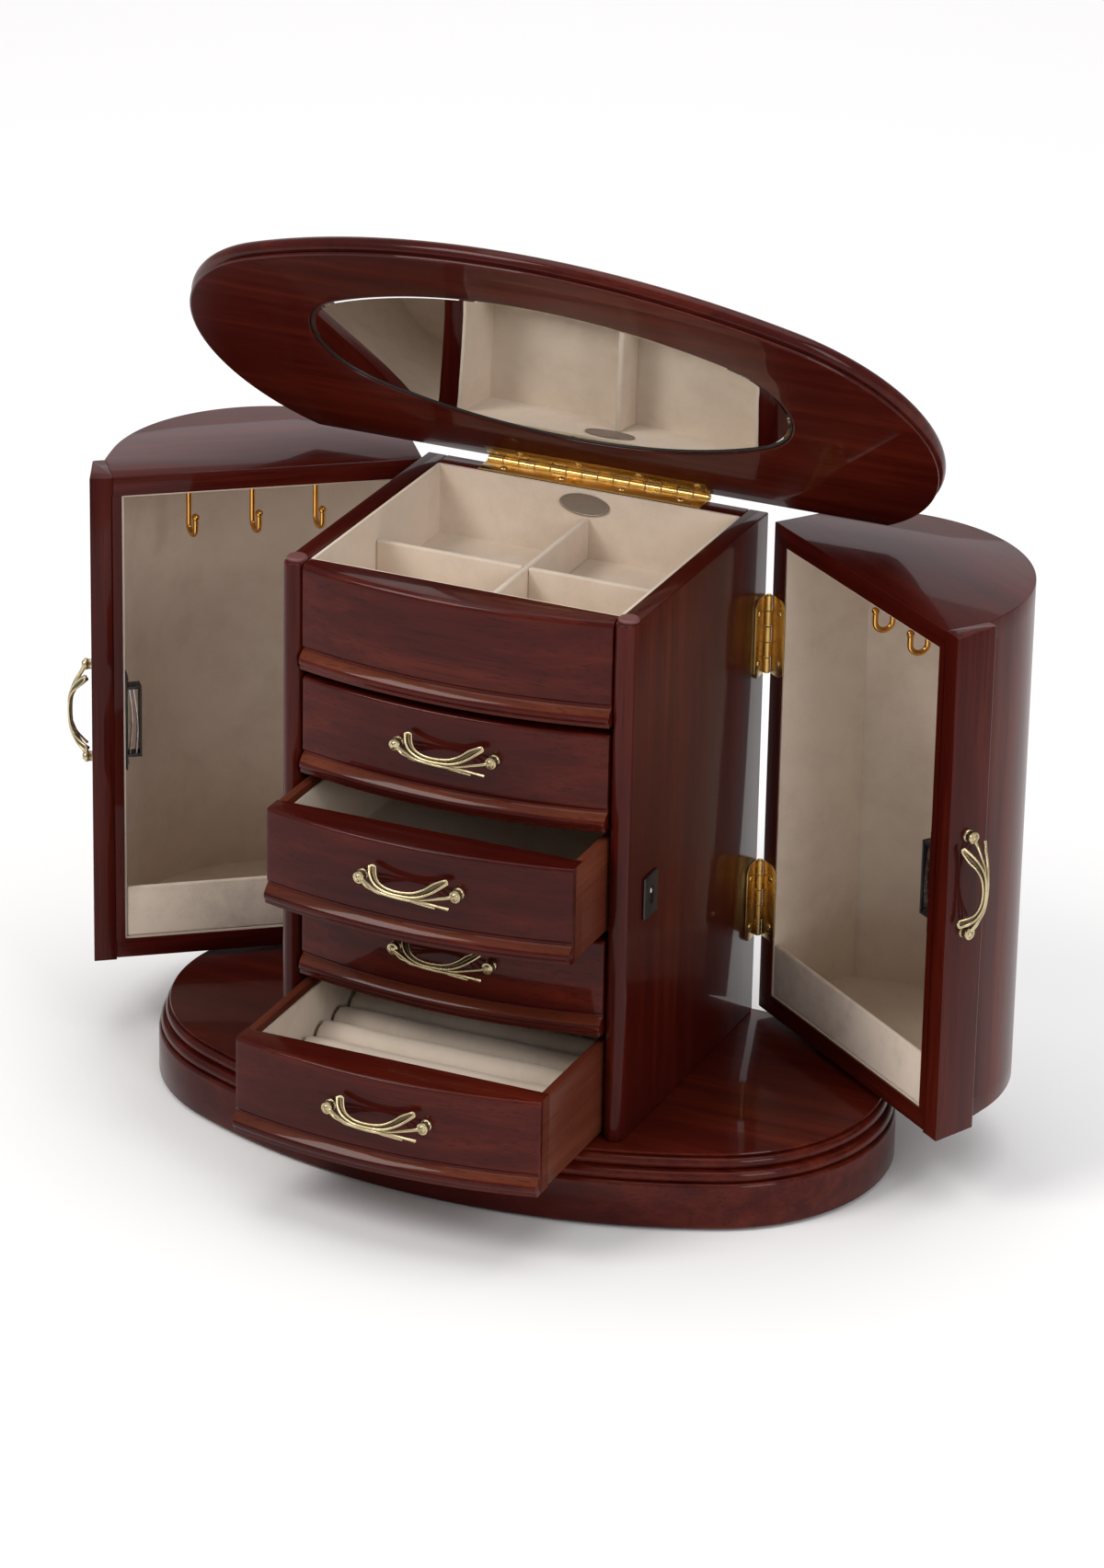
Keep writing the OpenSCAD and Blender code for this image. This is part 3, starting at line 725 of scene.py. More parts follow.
tf_lo, tf_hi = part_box("top_front")
top_front = bowed_front("fixed_top_front", tf_hi[0] - 0.2 * MM, tf_hi[1], tf_lo[2], tf_hi[2] - tf_lo[2], 3.2)
rested(top_front, "chest", "top_front", slot="mahogany")

front_lo, front_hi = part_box("drawer_1_front")
front_back = front_hi[1]
fronts = {}
for n in (1, 2, 3, 4):
    lo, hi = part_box("drawer_%d_front" % n)
    shift = lo[1] - front_lo[1]
    if n == 1:
        fronts[1] = bowed_front("drawer_1_bowed_front", front_hi[0], front_back, lo[2],
                                hi[2] - lo[2], 1.6)
        # behind the veneer, the ends show the same wood as the drawer's sides
        end_y = BOW_Y - math.sqrt(BOW_R ** 2 - front_hi[0] ** 2) + 3.7 * MM
        clear_selection()
        fronts[1].select_set(True)
        bpy.context.view_layer.objects.active = fronts[1]
        edit("FACE")
        bpy.ops.mesh.select_all(action="SELECT")
        bpy.ops.mesh.bisect(plane_co=(0, end_y, 0), plane_no=(0, 1, 0))
        done()
        paint_faces(fronts[1], inner_wood_y, lambda c, n: abs(n.x) > 0.5 and c.y > end_y)
    else:
        fronts[n] = copied(fronts[1], "drawer_%d_bowed_front" % n,
                           Matrix.Translation((0, shift, lo[2] - front_lo[2])))
    rested(fronts[n], "drawer_%d" % n, "drawer_%d_front" % n, slot="mahogany")

# ------------------------------------------------------------------ drawer boxes and linings


def lined_box(name, lo, hi, thick, material, open_side="z", corner=1.6 * MM):
    """A card lining covered in suede: a box open at the top, with soft corners."""
    clear_selection()
    lo, hi = Vector(lo), Vector(hi)
    bpy.ops.mesh.primitive_cube_add(size=1, location=(lo + hi) / 2, scale=hi - lo)
    obj = bpy.context.object
    obj.name = name
    bpy.ops.object.transform_apply(location=True, rotation=True, scale=True)
    edit("FACE")
    bpy.ops.mesh.select_all(action="DESELECT")
    bm = bmesh.from_edit_mesh(obj.data)
    for f in bm.faces:
        f.select = f.normal.z > 0.5
    bmesh.update_edit_mesh(obj.data)
    bpy.ops.mesh.delete(type="FACE")
    done()
    modify(obj, "BEVEL", width=corner, segments=3, limit_method="ANGLE",
           angle_limit=math.radians(40))
    modify(obj, "SOLIDIFY", thickness=thick, offset=-1)
    smooth(obj, 50)
    obj.data.materials.append(material)
    return obj


for n in (1, 2, 3, 4):
    body = "drawer_%d" % n
    lo, hi = (Vector(v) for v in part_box("drawer_%d_box" % n))
    t = 4 * MM
    proud = 0.4 * MM
    left = board("box_left", (lo.x - proud, lo.y, lo.z), (lo.x + t, hi.y, hi.z), 0.4 * MM, inner_wood_y)
    right = board("box_right", (hi.x - t, lo.y, lo.z), (hi.x + proud, hi.y, hi.z), 0.4 * MM, inner_wood_y)
    rear = board("box_back", (lo.x + t, hi.y - t, lo.z), (hi.x - t, hi.y, hi.z), 0.7 * MM,
                 inner_wood_x)
    floor_board = board("box_floor", (lo.x + t, lo.y, lo.z + 0.6 * MM),
                        (hi.x - t, hi.y - t, lo.z + 3.6 * MM), 0.3 * MM, inner_wood_x)
    box = joined([left, right, rear, floor_board], "drawer_%d_carcass" % n)
    rested(box, body, "drawer_%d_box" % n, slot="inner_wood")
    lo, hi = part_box("drawer_%d_lining" % n)
    lining = lined_box("drawer_%d_suede" % n, lo, hi, 1.0 * MM, suede)
    rested(lining, body, "drawer_%d_lining" % n, slot="suede")

lo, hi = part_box("tray_lining")
tray = lined_box("tray_suede", lo, hi, 1.5 * MM, suede, corner=1.4 * MM)
rested(tray, "chest", "tray_lining", slot="suede")

lo, hi = (Vector(v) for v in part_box("tray_dividers"))
cross_y = 9 * MM
dividers = [board("divider_long", (-1.6 * MM, lo.y, lo.z), (1.6 * MM, hi.y, hi.z), 1.2 * MM, suede, 4)]
for a, b in ((lo.x, -1.6 * MM), (1.6 * MM, hi.x)):
    dividers.append(board("divider_cross", (a, cross_y, lo.z), (b, cross_y + 3.2 * MM, hi.z),
                          1.2 * MM, suede, 4))
dividers = joined(dividers, "tray_divider_boards")
rested(dividers, "chest", "tray_dividers", slot="suede")

# ------------------------------------------------------------------ ring rolls

lo, hi = (Vector(v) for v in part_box("drawer_4_ring_rolls"))
ROLLS = 7
roll_d = 18.2 * MM
roll_z = hi.z - roll_d / 2
roll_step = ((hi.y - lo.y) - roll_d) / (ROLLS - 1)


def padded_roll(name, mid_y):
    """A suede roll: a stuffed tube, tucked in at its two ends."""
    clear_selection()
    r = roll_d / 2 - 1.0 * MM
    bpy.ops.mesh.primitive_cylinder_add(vertices=24, radius=r, depth=hi.x - lo.x - 2.4 * MM,
                                        end_fill_type="NGON",
                                        location=(0, mid_y, roll_z),
                                        rotation=(0, math.pi / 2, 0))
    obj = bpy.context.object
    obj.name = name
    bpy.ops.object.transform_apply(location=True, rotation=True, scale=True)
    edit("FACE")
    bpy.ops.mesh.select_all(action="DESELECT")
    bm = bmesh.from_edit_mesh(obj.data)
    for f in bm.faces:
        f.select = abs(f.normal.x) > 0.9
    bmesh.update_edit_mesh(obj.data)
    bpy.ops.mesh.inset(thickness=2.2 * MM, depth=0)
    bpy.ops.mesh.inset(thickness=2.2 * MM, depth=0)
    done()
    modify(obj, "REMESH", mode="VOXEL", voxel_size=2.2 * MM)
    rest = [v.co.copy() for v in obj.data.vertices]
    cloth = obj.modifiers.new("cloth", "CLOTH")
    cloth.settings.quality = 6
    cloth.settings.mass = 0.2
    cloth.settings.use_pressure = True
    cloth.settings.uniform_pressure_force = 4
    cloth.settings.effector_weights.gravity = 0
    scene = bpy.context.scene
    for fr in range(1, 15):
        scene.frame_set(fr)
    bpy.ops.object.modifier_apply(modifier=cloth.name)
    for v, o in zip(obj.data.vertices, rest):
        move = v.co - o
        if move.length > 0.9 * MM:
            v.co = o + move.normalized() * 0.9 * MM
    bpy.context.scene.frame_set(1)
    rng = random.Random(7)
    waves = [(rng.uniform(60, 190), rng.uniform(0, 6.28), rng.uniform(0, 6.28)) for _ in range(5)]
    mid = Vector((0, mid_y, roll_z))
    for v in obj.data.vertices:
        ang = math.atan2(v.co.z - mid.z, v.co.y - mid.y)
        swell = sum(math.sin(f * v.co.x + p + math.sin(ang + q)) for f, p, q in waves) / 5
        flat = Vector((0, v.co.y - mid.y, v.co.z - mid.z))
        v.co += flat.normalized() * swell * 0.35 * MM if flat.length > 2 * MM else Vector()
    modify(obj, "SUBSURF", levels=1, render_levels=1)
    return smooth(obj, 60)


first = padded_roll("ring_roll_1", lo.y + roll_d / 2)
rolls = [first]
for i in range(1, ROLLS):
    flip = Matrix.Scale(-1 if i % 2 else 1, 4, (1, 0, 0))
    rolls.append(copied(first, "ring_roll_%d" % (i + 1),
                        Matrix.Translation((0, i * roll_step, 0)) @ flip))
for i, roll in enumerate(rolls):
    rested(roll, "drawer_4", "drawer_4_ring_rolls", material=suede, slot="suede")
roll_bed = board("ring_roll_bed", (lo.x + 1 * MM, lo.y + 1 * MM, lo.z), (hi.x - 1 * MM, hi.y - 1 * MM, lo.z + 2.9 * MM),
                 0.5 * MM, suede)
rested(roll_bed, "drawer_4", "drawer_4_ring_rolls", slot="suede")

# ------------------------------------------------------------------ lid

lid_z = chest_top + 2 * MM
LID_T = 11 * MM
LID_OVER = 2.5 * MM
lid_back = chest_back
z = lid_z / MM
t = LID_T / MM
under = [(2.4, z), (1.8, z + 0.06), (1.4, z + 0.3), (1.25, z + 0.75), (1.4, z + 1.1),
         (2.3, z + 1.35), (3.3, z + 1.7), (3.6, z + 2.2), (3.3, z + 2.65), (2.6, z + 2.8)]
nose = quarter(4.2, z + 6.8, 4.2, 4.2, 248, 90, 18)
lid = oval_turned("lid_oval_board", mm([(14, z)] + under + nose + [(16, z + t)]),
                  a=BASE_A + LID_OVER, b=OVAL_B + LID_OVER, r=END_R + LID_OVER, centre=(0, LID_Y))
cut((0, lid_back, 0), (0, 1, 0))
done()
eased(lid, 0.35 * MM, 2, 60)


mirror_y = lid_back - 94.3 * MM
MIRROR = dict(a=124 * MM, b=63.8 * MM, r=44 * MM, centre=(0, mirror_y))
lip = [(-1.1, z - 2), (-1.1, z - 0.02), (-0.6, z + 0.08), (-0.22, z + 0.3), (0, z + 0.8), (0, z + 4.6)]
recess = oval_turned("recess_cutter", mm(lip), **MIRROR)
done()
hollowed(lid, recess)
smooth(lid, 30)
turned(lid, lid_matrix)
rested(lid, "lid", "lid_board", material=mahogany_lid, slot="mahogany")

# The thin bead round the glass is given blackened steel as a painted shadow: it stands for the dark line of the lip's
# shadow and the gap round the glass.
rim_profile = mm([(0.1, z + 1.6), (0.15, z + 0.9), (0.4, z + 0.6), (0.8, z + 0.55), (1.15, z + 0.8),
                  (1.3, z + 1.25), (1.3, z + 1.6)])
shadow_line_ring = oval_turned("mirror_bead_painted_shadow", rim_profile, ring=True, **MIRROR)
done()
smooth(shadow_line_ring, 60)
turned(shadow_line_ring, lid_matrix)
rested(shadow_line_ring, "lid", "mirror_frame", material=black_steel, slot="mahogany")
glass = oval_turned("bevelled_mirror", mm([(0.4, z + 4.5), (0.4, z + 1.6), (1.3, z + 1.35), (2.6, z + 1.0), (3.0, z + 0.98)]), **MIRROR)
done()
smooth(glass, 8)
turned(glass, lid_matrix)
rested(glass, "lid", "lid_mirror", material=mirror_glass, slot="mirror")

# ------------------------------------------------------------------ doors

door_lo_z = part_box("right_door_bottom")[0][2]
door_hi_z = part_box("right_door_top")[1][2]
RIM = 10 * MM
WALL_T = 5 * MM
stile_y = DOOR_FRONT + 7.4 * MM
STRIP_Y = DOOR_FRONT - 4.3 * MM
STRIP_TURN = math.radians(11.8)


def door_cut():
    cut((DOOR_X, 0, 0), (-1, 0, 0))
    cut((0, stile_y, 0), (0, -1, 0))
    cut((0, DOOR_BACK, 0), (0, 1, 0))


def door_board(name, z0, z1, soft_top):
    e = 0.5
    a, b = z0 / MM, z1 / MM
    if soft_top:
        pts = [(10, a), (10, b - e), (10 + 0.28 * e, b - 0.28 * e), (10 + e, b)]
    else:
        pts = [(10 + e, a), (10 + 0.28 * e, a + 0.28 * e), (10, a + e), (10, b)]
    obj = oval_turned(name, mm(pts), step=math.radians(2.5))
    door_cut()
    done()
    edit("EDGE")
    bpy.ops.mesh.select_all(action="DESELECT")
    bm = bmesh.from_edit_mesh(obj.data)
    face_z = z1 if soft_top else z0
    for e in bm.edges:
        sharp = len(e.link_faces) == 2 and e.calc_face_angle() > math.radians(50)
        e.select = sharp and all(abs(v.co.z - face_z) < 0.1 * MM for v in e.verts)
    bmesh.update_edit_mesh(obj.data)
    bpy.ops.mesh.bevel(offset=0.5 * MM, segments=2)
    done()
    return smooth(obj, 30)


def arc_points(inset, z0):
    """The door wall's curved plan at an inset, from its front end to its back end."""
    k, phi = oval_k, oval_measures(BASE_A, OVAL_B, END_R)[1]
    out = []
    big, small = k + OVAL_B - inset, END_R - inset
    lo_x = 95.2 * MM
    a0 = math.asin(lo_x / big)
    steps = 6
    for i in range(steps):
        a = a0 + (phi - a0) * i / steps
        out.append((big * math.sin(a), OVAL_Y + k - big * math.cos(a)))
    n = 52
    for i in range(n + 1):
        a = phi + (math.pi - 2 * phi) * i / n
        out.append((BASE_A - END_R + small * math.sin(a), OVAL_Y - small * math.cos(a)))
    for i in range(1, steps + 1):
        a = phi + (a0 - phi) * i / steps
        out.append((big * math.sin(a), OVAL_Y - k + big * math.cos(a)))
    return out


def door_wall(name):
    """The curved wall, with the flat board on its hinge side."""
    outer = [p for p in arc_points(DOOR_IN, 0) if stile_y < p[1] < DOOR_BACK]
    inner = [p for p in arc_points(DOOR_IN + WALL_T, 0)
             if stile_y + 3 * MM < p[1] < DOOR_BACK - RIM]
    lip = stile_y + 4.2 * MM
    start_x = 113 * MM
    outline = [(start_x, stile_y)] + [p for p in outer if p[0] > start_x or p[1] > 0]
    outline += [(outline[-1][0] - 1 * MM, DOOR_BACK), (DOOR_X, DOOR_BACK), (DOOR_X, DOOR_BACK - RIM)]
    inner_back = [p for p in inner if p[0] > start_x or p[1] > 0][::-1]
    outline += [(inner_back[0][0], DOOR_BACK - RIM)] + inner_back
    outline += [(start_x, inner_back[-1][1])]
    obj = plan_board(name, outline, door_lo_z + RIM, door_hi_z - RIM)
    return smooth(obj, 30)


def stile_strip(name):
    """The flat front strip, its outer corner rounded, with the stile behind it."""
    w, r = 24.5 * MM, 1.4 * MM
    x1 = DOOR_X + w
    outer_y = STRIP_Y + w * math.tan(STRIP_TURN)
    arc = [(x1 - r + r * math.cos(math.radians(t)), outer_y + r + r * math.sin(math.radians(t)))
           for t in range(-78, 1, 13)]
    outline = [(DOOR_X, STRIP_Y)] + arc + [(x1, stile_y), (DOOR_X, stile_y)]
    strip = plan_board("strip", outline, door_lo_z - 1 * MM, door_hi_z)
    eased(strip, 0.4 * MM, 2, 50)
    inner = plan_board("stile_back", [(DOOR_X, stile_y - 1 * MM), (DOOR_X + 17.4 * MM, stile_y - 1 * MM),
                                      (DOOR_X + 17.4 * MM, stile_y + 4.2 * MM), (DOOR_X, stile_y + 4.2 * MM)],
                       door_lo_z + RIM - 0.2 * MM, door_hi_z - RIM + 0.2 * MM)
    return joined([strip, inner], name)


def door_suede(name):
    """The lining: a curved shell open towards the chest, with soft corners."""
    z0, z1 = door_lo_z + RIM, door_hi_z - RIM
    y0, y1 = stile_y + 4.25 * MM, DOOR_BACK - RIM
    pts = [p for p in arc_points(DOOR_IN + WALL_T + 0.1 * MM, 0) if y0 < p[1] < y1]
    pts = [(DOOR_X + 1 * MM, y0), (pts[0][0], y0)] + pts + [(pts[-1][0], y1), (DOOR_X + 1 * MM, y1)]
    obj = started(name, [(x, y, z0) for x, y in pts])
    bpy.ops.mesh.extrude_edges_move(TRANSFORM_OT_translate={"value": (0, 0, z1 - z0)})
    bpy.ops.mesh.select_all(action="SELECT")
    bm = bmesh.from_edit_mesh(obj.data)
    for level in (z0, z1):
        for v in bm.verts:
            v.select = abs(v.co.z - level) < 1e-6
        bm.select_flush_mode()
        for e in bm.edges:
            e.select = all(abs(v.co.z - level) < 1e-6 for v in e.verts)
        bmesh.update_edit_mesh(obj.data)
        bpy.ops.mesh.edge_face_add()
        bm = bmesh.from_edit_mesh(obj.data)
    bpy.ops.mesh.select_all(action="SELECT")
    bpy.ops.mesh.normals_make_consistent(inside=True)
    done()
    modify(obj, "BEVEL", width=1.4 * MM, segments=3, limit_method="ANGLE",
           angle_limit=math.radians(60))
    modify(obj, "SOLIDIFY", thickness=1.0 * MM, offset=1)
    return smooth(obj, 50)


def rod(name, points, radius, material, resolution=5, caps=True):
    """A bent rod along a smooth line of points."""
    obj = started(name, points)
    done()
    clear_selection()
    obj.select_set(True)
    bpy.context.view_layer.objects.active = obj
    bpy.ops.object.convert(target="CURVE")
    obj = bpy.context.object
    obj.data.bevel_depth = radius
    obj.data.bevel_resolution = resolution
    obj.data.use_fill_caps = caps
    bpy.ops.object.convert(target="MESH")
    obj = sealed(bpy.context.object)
    obj.data.materials.append(material)
    return smooth(obj, 60)


def ball(centre, radius, material, squash=(1, 1, 1)):
    clear_selection()
    bpy.ops.mesh.primitive_uv_sphere_add(segments=24, ring_count=14, radius=radius, location=centre)
    obj = bpy.context.object
    obj.scale = squash
    bpy.ops.object.transform_apply(location=True, rotation=True, scale=True)
    obj.data.materials.append(material)
    return smooth(obj, 60)


def hook_set(name):
    """Three necklace hooks that hang from the door's top board, inside."""
    top = door_hi_z - RIM - 1 * MM
    parts = []
    for d in (46, 78, 110):
        at = Matrix.Translation((DOOR_X + 40 * MM, DOOR_BACK - d * MM, top)) @ Matrix.Rotation(
            math.radians(-12), 4, "Z")
        pts = [(0, 0, -i * 3.1 * MM) for i in range(11)]
        for a in range(10, 181, 10):
            t = math.radians(a)
            pts.append(((-4.5 + 4.5 * math.cos(t)) * MM, 0, (-31 - 4.5 * math.sin(t)) * MM))
        pts += [(-9 * MM, 0, -29 * MM), (-9 * MM, 0, -26.6 * MM)]
        hook = joined([rod("shank", pts, 1.45 * MM, hook_brass),
                       ball((-9 * MM, 0, -25.2 * MM), 2.0 * MM, hook_brass),
                       ball((0, 0, 0), 4.0 * MM, hook_brass, (1, 1, 0.35))], "hook")
        parts.append(turned(hook, at))
    return joined(parts, name)


def catch_set(name):
    """A spring catch on the stile: a black bracket with two bowed steel springs in it."""
    x, y = DOOR_X + 1.2 * MM, DOOR_FRONT + 13 * MM
    arc = [(3.5 + 3.5 * math.cos(math.radians(a)), 4.4 + 4.4 * math.sin(math.radians(a)))
           for a in range(-90, 91, 30)]
    parts = [board("catch_base", (x, y, 144 * MM), (x + 7 * MM, y + 1 * MM, 196 * MM), 0.35 * MM, black_steel),
             board("catch_bar", (x, y + 7 * MM, 150.8 * MM), (x + 7 * MM, y + 8 * MM, 189.2 * MM), 0.45 * MM,
                   black_steel, 3)]
    for zz in (151, 187.4):
        parts.append(board("catch_arm", (x, y + 0.6 * MM, zz * MM), (x + 7 * MM, y + 7.6 * MM, (zz + 1.6) * MM),
                           0.4 * MM, black_steel, 3))
    for line in (((1.9, 187.2), (3.2, 177), (3.4, 166), (2.2, 152.4)),
                 ((4.0, 187.2), (5.4, 177), (6.2, 166), (5.4, 152.4))):
        pts = [(x + 1.2 * MM, y + q * MM, zz * MM) for q, zz in line]
        strip = started("spring", through(pts, 6))
        bpy.ops.mesh.extrude_edges_move(TRANSFORM_OT_translate={"value": (4.2 * MM, 0, 0)})
        done()
        modify(strip, "SOLIDIFY", thickness=0.5 * MM, offset=0)
        outward(strip)
        strip.data.materials.append(bright_steel)
        parts.append(smooth(strip, 40))
    for zz in (147.5, 192.5):
        parts.append(placed_screw((x + 3.5 * MM, y + 1 * MM, zz * MM), (0, 1, 0), 2.0 * MM, bright_steel))
    return joined(parts, name)


for s in (1, -1):
    place, label = door_matrix[s], side_name[s]
    body = label + "_door"
    side_mat, flat_mat = door_wood[s], door_plate_wood[s]
    for part, z0, z1 in (("top", door_hi_z - RIM, door_hi_z), ("bottom", door_lo_z, door_lo_z + RIM)):
        plate = door_board(label + "_door_%s_board" % part, z0, z1, part == "top")
        plate.data.materials.append(flat_mat)
        paint_faces(plate, side_mat, lambda c, n: abs(n.z) < 0.6 and n.x > -0.7)
        turned(plate, place)
        rested(plate, body, "%s_door_%s" % (label, part), slot="mahogany")
    wall = door_wall(label + "_door_curved_wall")
    turned(wall, place)
    rested(wall, body, label + "_door_wall", material=side_mat, slot="mahogany")
    stile = stile_strip(label + "_door_front_strip")
    turned(stile, place)
    rested(stile, body, label + "_door_stile", material=side_mat, slot="mahogany")
    lining = door_suede(label + "_door_suede")
    turned(lining, place)
    rested(lining, body, label + "_door_lining", material=suede, slot="suede")
    pocket = board(label + "_door_pocket_board", (DOOR_X + 1 * MM, DOOR_FRONT + 13 * MM, door_lo_z + RIM + 1.2 * MM),
                   (DOOR_X + 3.4 * MM, DOOR_BACK - 11.4 * MM, door_lo_z + RIM + 28.2 * MM), 1.1 * MM,
                   suede_pocket, 4)
    turned(pocket, place)
    rested(pocket, body, label + "_door_pocket", slot="suede")
    hooks = hook_set(label + "_door_necklace_hooks")
    turned(hooks, place)
    rested(hooks, body, label + "_door_hooks", slot="brass")
    catch = catch_set(label + "_door_spring_catch")
    turned(catch, place)
    rested(catch, body, label + "_door_catch", slot="dark_steel")

# ------------------------------------------------------------------ hinges

HINGE_L = 118 * MM
KNUCKLES = 14
knuckle = HINGE_L / KNUCKLES
piv = Vector(lid_pivot)


def lid_leaf(name, first, leaf_lo, leaf_hi, face_z, normal, screws):
    """Half of the long hinge: a leaf, its knuckles with the metal that curls into them, screws."""
    parts = [board("leaf", leaf_lo, leaf_hi, 0.2 * MM, polished_brass)]
    r = 2.0 * MM
    for i in range(first, KNUCKLES, 2):
        x0 = -HINGE_L / 2 + i * knuckle + 0.14 * MM
        x1 = x0 + knuckle - 0.28 * MM
        parts.append(barrel("knuckle", (x0, piv.y, piv.z), (x1, piv.y, piv.z), r, polished_brass))
        parts.append(board("curl", (x0, leaf_hi[1] - 0.5 * MM, leaf_lo[2]),
                           (x1, piv.y, leaf_hi[2]), 0.15 * MM, polished_brass))
    for x, y in screws:
        parts.append(placed_screw((x, y, face_z), normal, 1.9 * MM, polished_brass, twist=x * 90))
    return joined(parts, name)


screw_x = [-47 * MM, -16 * MM, 16 * MM, 47 * MM]
leaf = lid_leaf("lid_hinge_lower_leaf", 0, (-HINGE_L / 2, chest_back - 11 * MM, chest_top),
                (HINGE_L / 2, chest_back - 0.05 * MM, chest_top + 0.8 * MM), chest_top + 0.8 * MM,
                (0, 0, 1), [(x, chest_back - 6.4 * MM) for x in screw_x])
rested(leaf, "chest", "lid_hinge_chest_leaf", slot="brass")
leaf = lid_leaf("lid_hinge_upper_leaf", 1, (-HINGE_L / 2, chest_back - 9.7 * MM, lid_z),
                (HINGE_L / 2, chest_back - 0.05 * MM, lid_z + 0.8 * MM), lid_z, (0, 0, -1),
                [(x + 7 * MM, chest_back - 6 * MM) for x in screw_x])
turned(leaf, lid_matrix)
rested(leaf, "lid", "lid_hinge_leaf", "lid_screws", slot="brass")

DOOR_HINGE_H = 41 * MM
DOOR_HINGES = [222.3 * MM, 81.5 * MM]
pin_x, pin_y = door_pivot[0], door_pivot[1]


def door_leaf(x_face, thick, z0, first):
    """Half of a butt hinge, its far corners clipped."""
    far, near, clip = pin_y - 12.6 * MM, pin_y - 1.2 * MM, 3.2 * MM
    z1 = z0 + DOOR_HINGE_H
    outline = [(x_face, near, z0), (x_face, near, z1), (x_face, far + clip, z1), (x_face, far, z1 - clip),
               (x_face, far, z0 + clip), (x_face, far + clip, z0)]
    parts = [flat_plate("leaf", outline, (thick, 0, 0), 0.15 * MM, polished_brass)]
    k = DOOR_HINGE_H / 5
    for i in range(first, 5, 2):
        a, b = z0 + i * k + 0.14 * MM, z0 + (i + 1) * k - 0.14 * MM
        parts.append(barrel("knuckle", (pin_x, pin_y, a), (pin_x, pin_y, b), 1.7 * MM, polished_brass))
        parts.append(board("curl", (min(x_face, x_face + thick), near - 0.4 * MM, a),
                           (max(x_face, x_face + thick), pin_y - 0.4 * MM, b), 0.1 * MM, polished_brass))
    side = 1 if thick > 0 else -1
    for zz in (7.5 * MM, DOOR_HINGE_H - 7.5 * MM):
        parts.append(placed_screw((x_face + thick, pin_y - 8 * MM, z0 + zz), (side, 0, 0), 1.75 * MM,
                                  polished_brass, cross_model, zz * 300))
    return parts


def pin_tips():
    """The pins' rounded ends, at each hinge."""
    parts = []
    for s in (1, -1):
        for z0 in DOOR_HINGES:
            for zz in (z0 + 0.2 * MM, z0 + DOOR_HINGE_H - 0.2 * MM):
                parts.append(ball((s * pin_x, pin_y, zz), 1.2 * MM, polished_brass, (1, 1, 0.5)))
    for x in (-HINGE_L / 2 + 0.2 * MM, HINGE_L / 2 - 0.2 * MM):
        parts.append(ball((x, piv.y, piv.z), 1.3 * MM, polished_brass, (0.5, 1, 1)))
    return parts


chest_leaves = []
for z0 in DOOR_HINGES:
    chest_leaves += door_leaf(side_x, 0.7 * MM, z0, 0)
right_leaves = joined(chest_leaves, "door_hinge_fixed_leaves")
left_leaves = copied(right_leaves, "left_fixed_leaves", Matrix.Scale(-1, 4, (1, 0, 0)))
fixed = joined([right_leaves, left_leaves], "door_hinge_fixed_leaves")
rested(fixed, "chest", "door_hinge_chest_leaves", "chest_screws", slot="brass")
rested(joined(pin_tips(), "hinge_pin_tips"), "chest", "hinge_pins", slot="brass")
moving = []
for z0 in DOOR_HINGES:
    moving += door_leaf(DOOR_X, -0.7 * MM, z0, 1)
moving = joined(moving, "door_hinge_moving_leaves")
for s in (1, -1):
    half = copied(moving, side_name[s] + "_door_moving_leaves", door_matrix[s])
    rested(half, side_name[s] + "_door", side_name[s] + "_door_hinges", slot="brass")
bpy.data.objects.remove(moving)

# ------------------------------------------------------------------ pulls


def strand(points, radii, material=None, steps=5):
    """A drawn strand along a smooth line, its thickness following the radii."""
    line = through([tuple(c * MM for c in p) for p in points], steps)
    n = len(radii) - 1
    obj = started("strand", line)
    done()
    clear_selection()
    obj.select_set(True)
    bpy.context.view_layer.objects.active = obj
    bpy.ops.object.convert(target="CURVE")
    obj = bpy.context.object
    pts = obj.data.splines[0].points
    for i, pt in enumerate(pts):
        u = i / (len(pts) - 1) * n
        k = min(int(u), n - 1)
        pt.radius = radii[k] + (radii[k + 1] - radii[k]) * (u - k)
    obj.data.bevel_depth = MM
    obj.data.bevel_resolution = 4
    obj.data.use_fill_caps = True
    bpy.ops.object.convert(target="MESH")
    obj = sealed(bpy.context.object)
    obj.data.materials.append(material or antique_brass)
    return smooth(obj, 60)


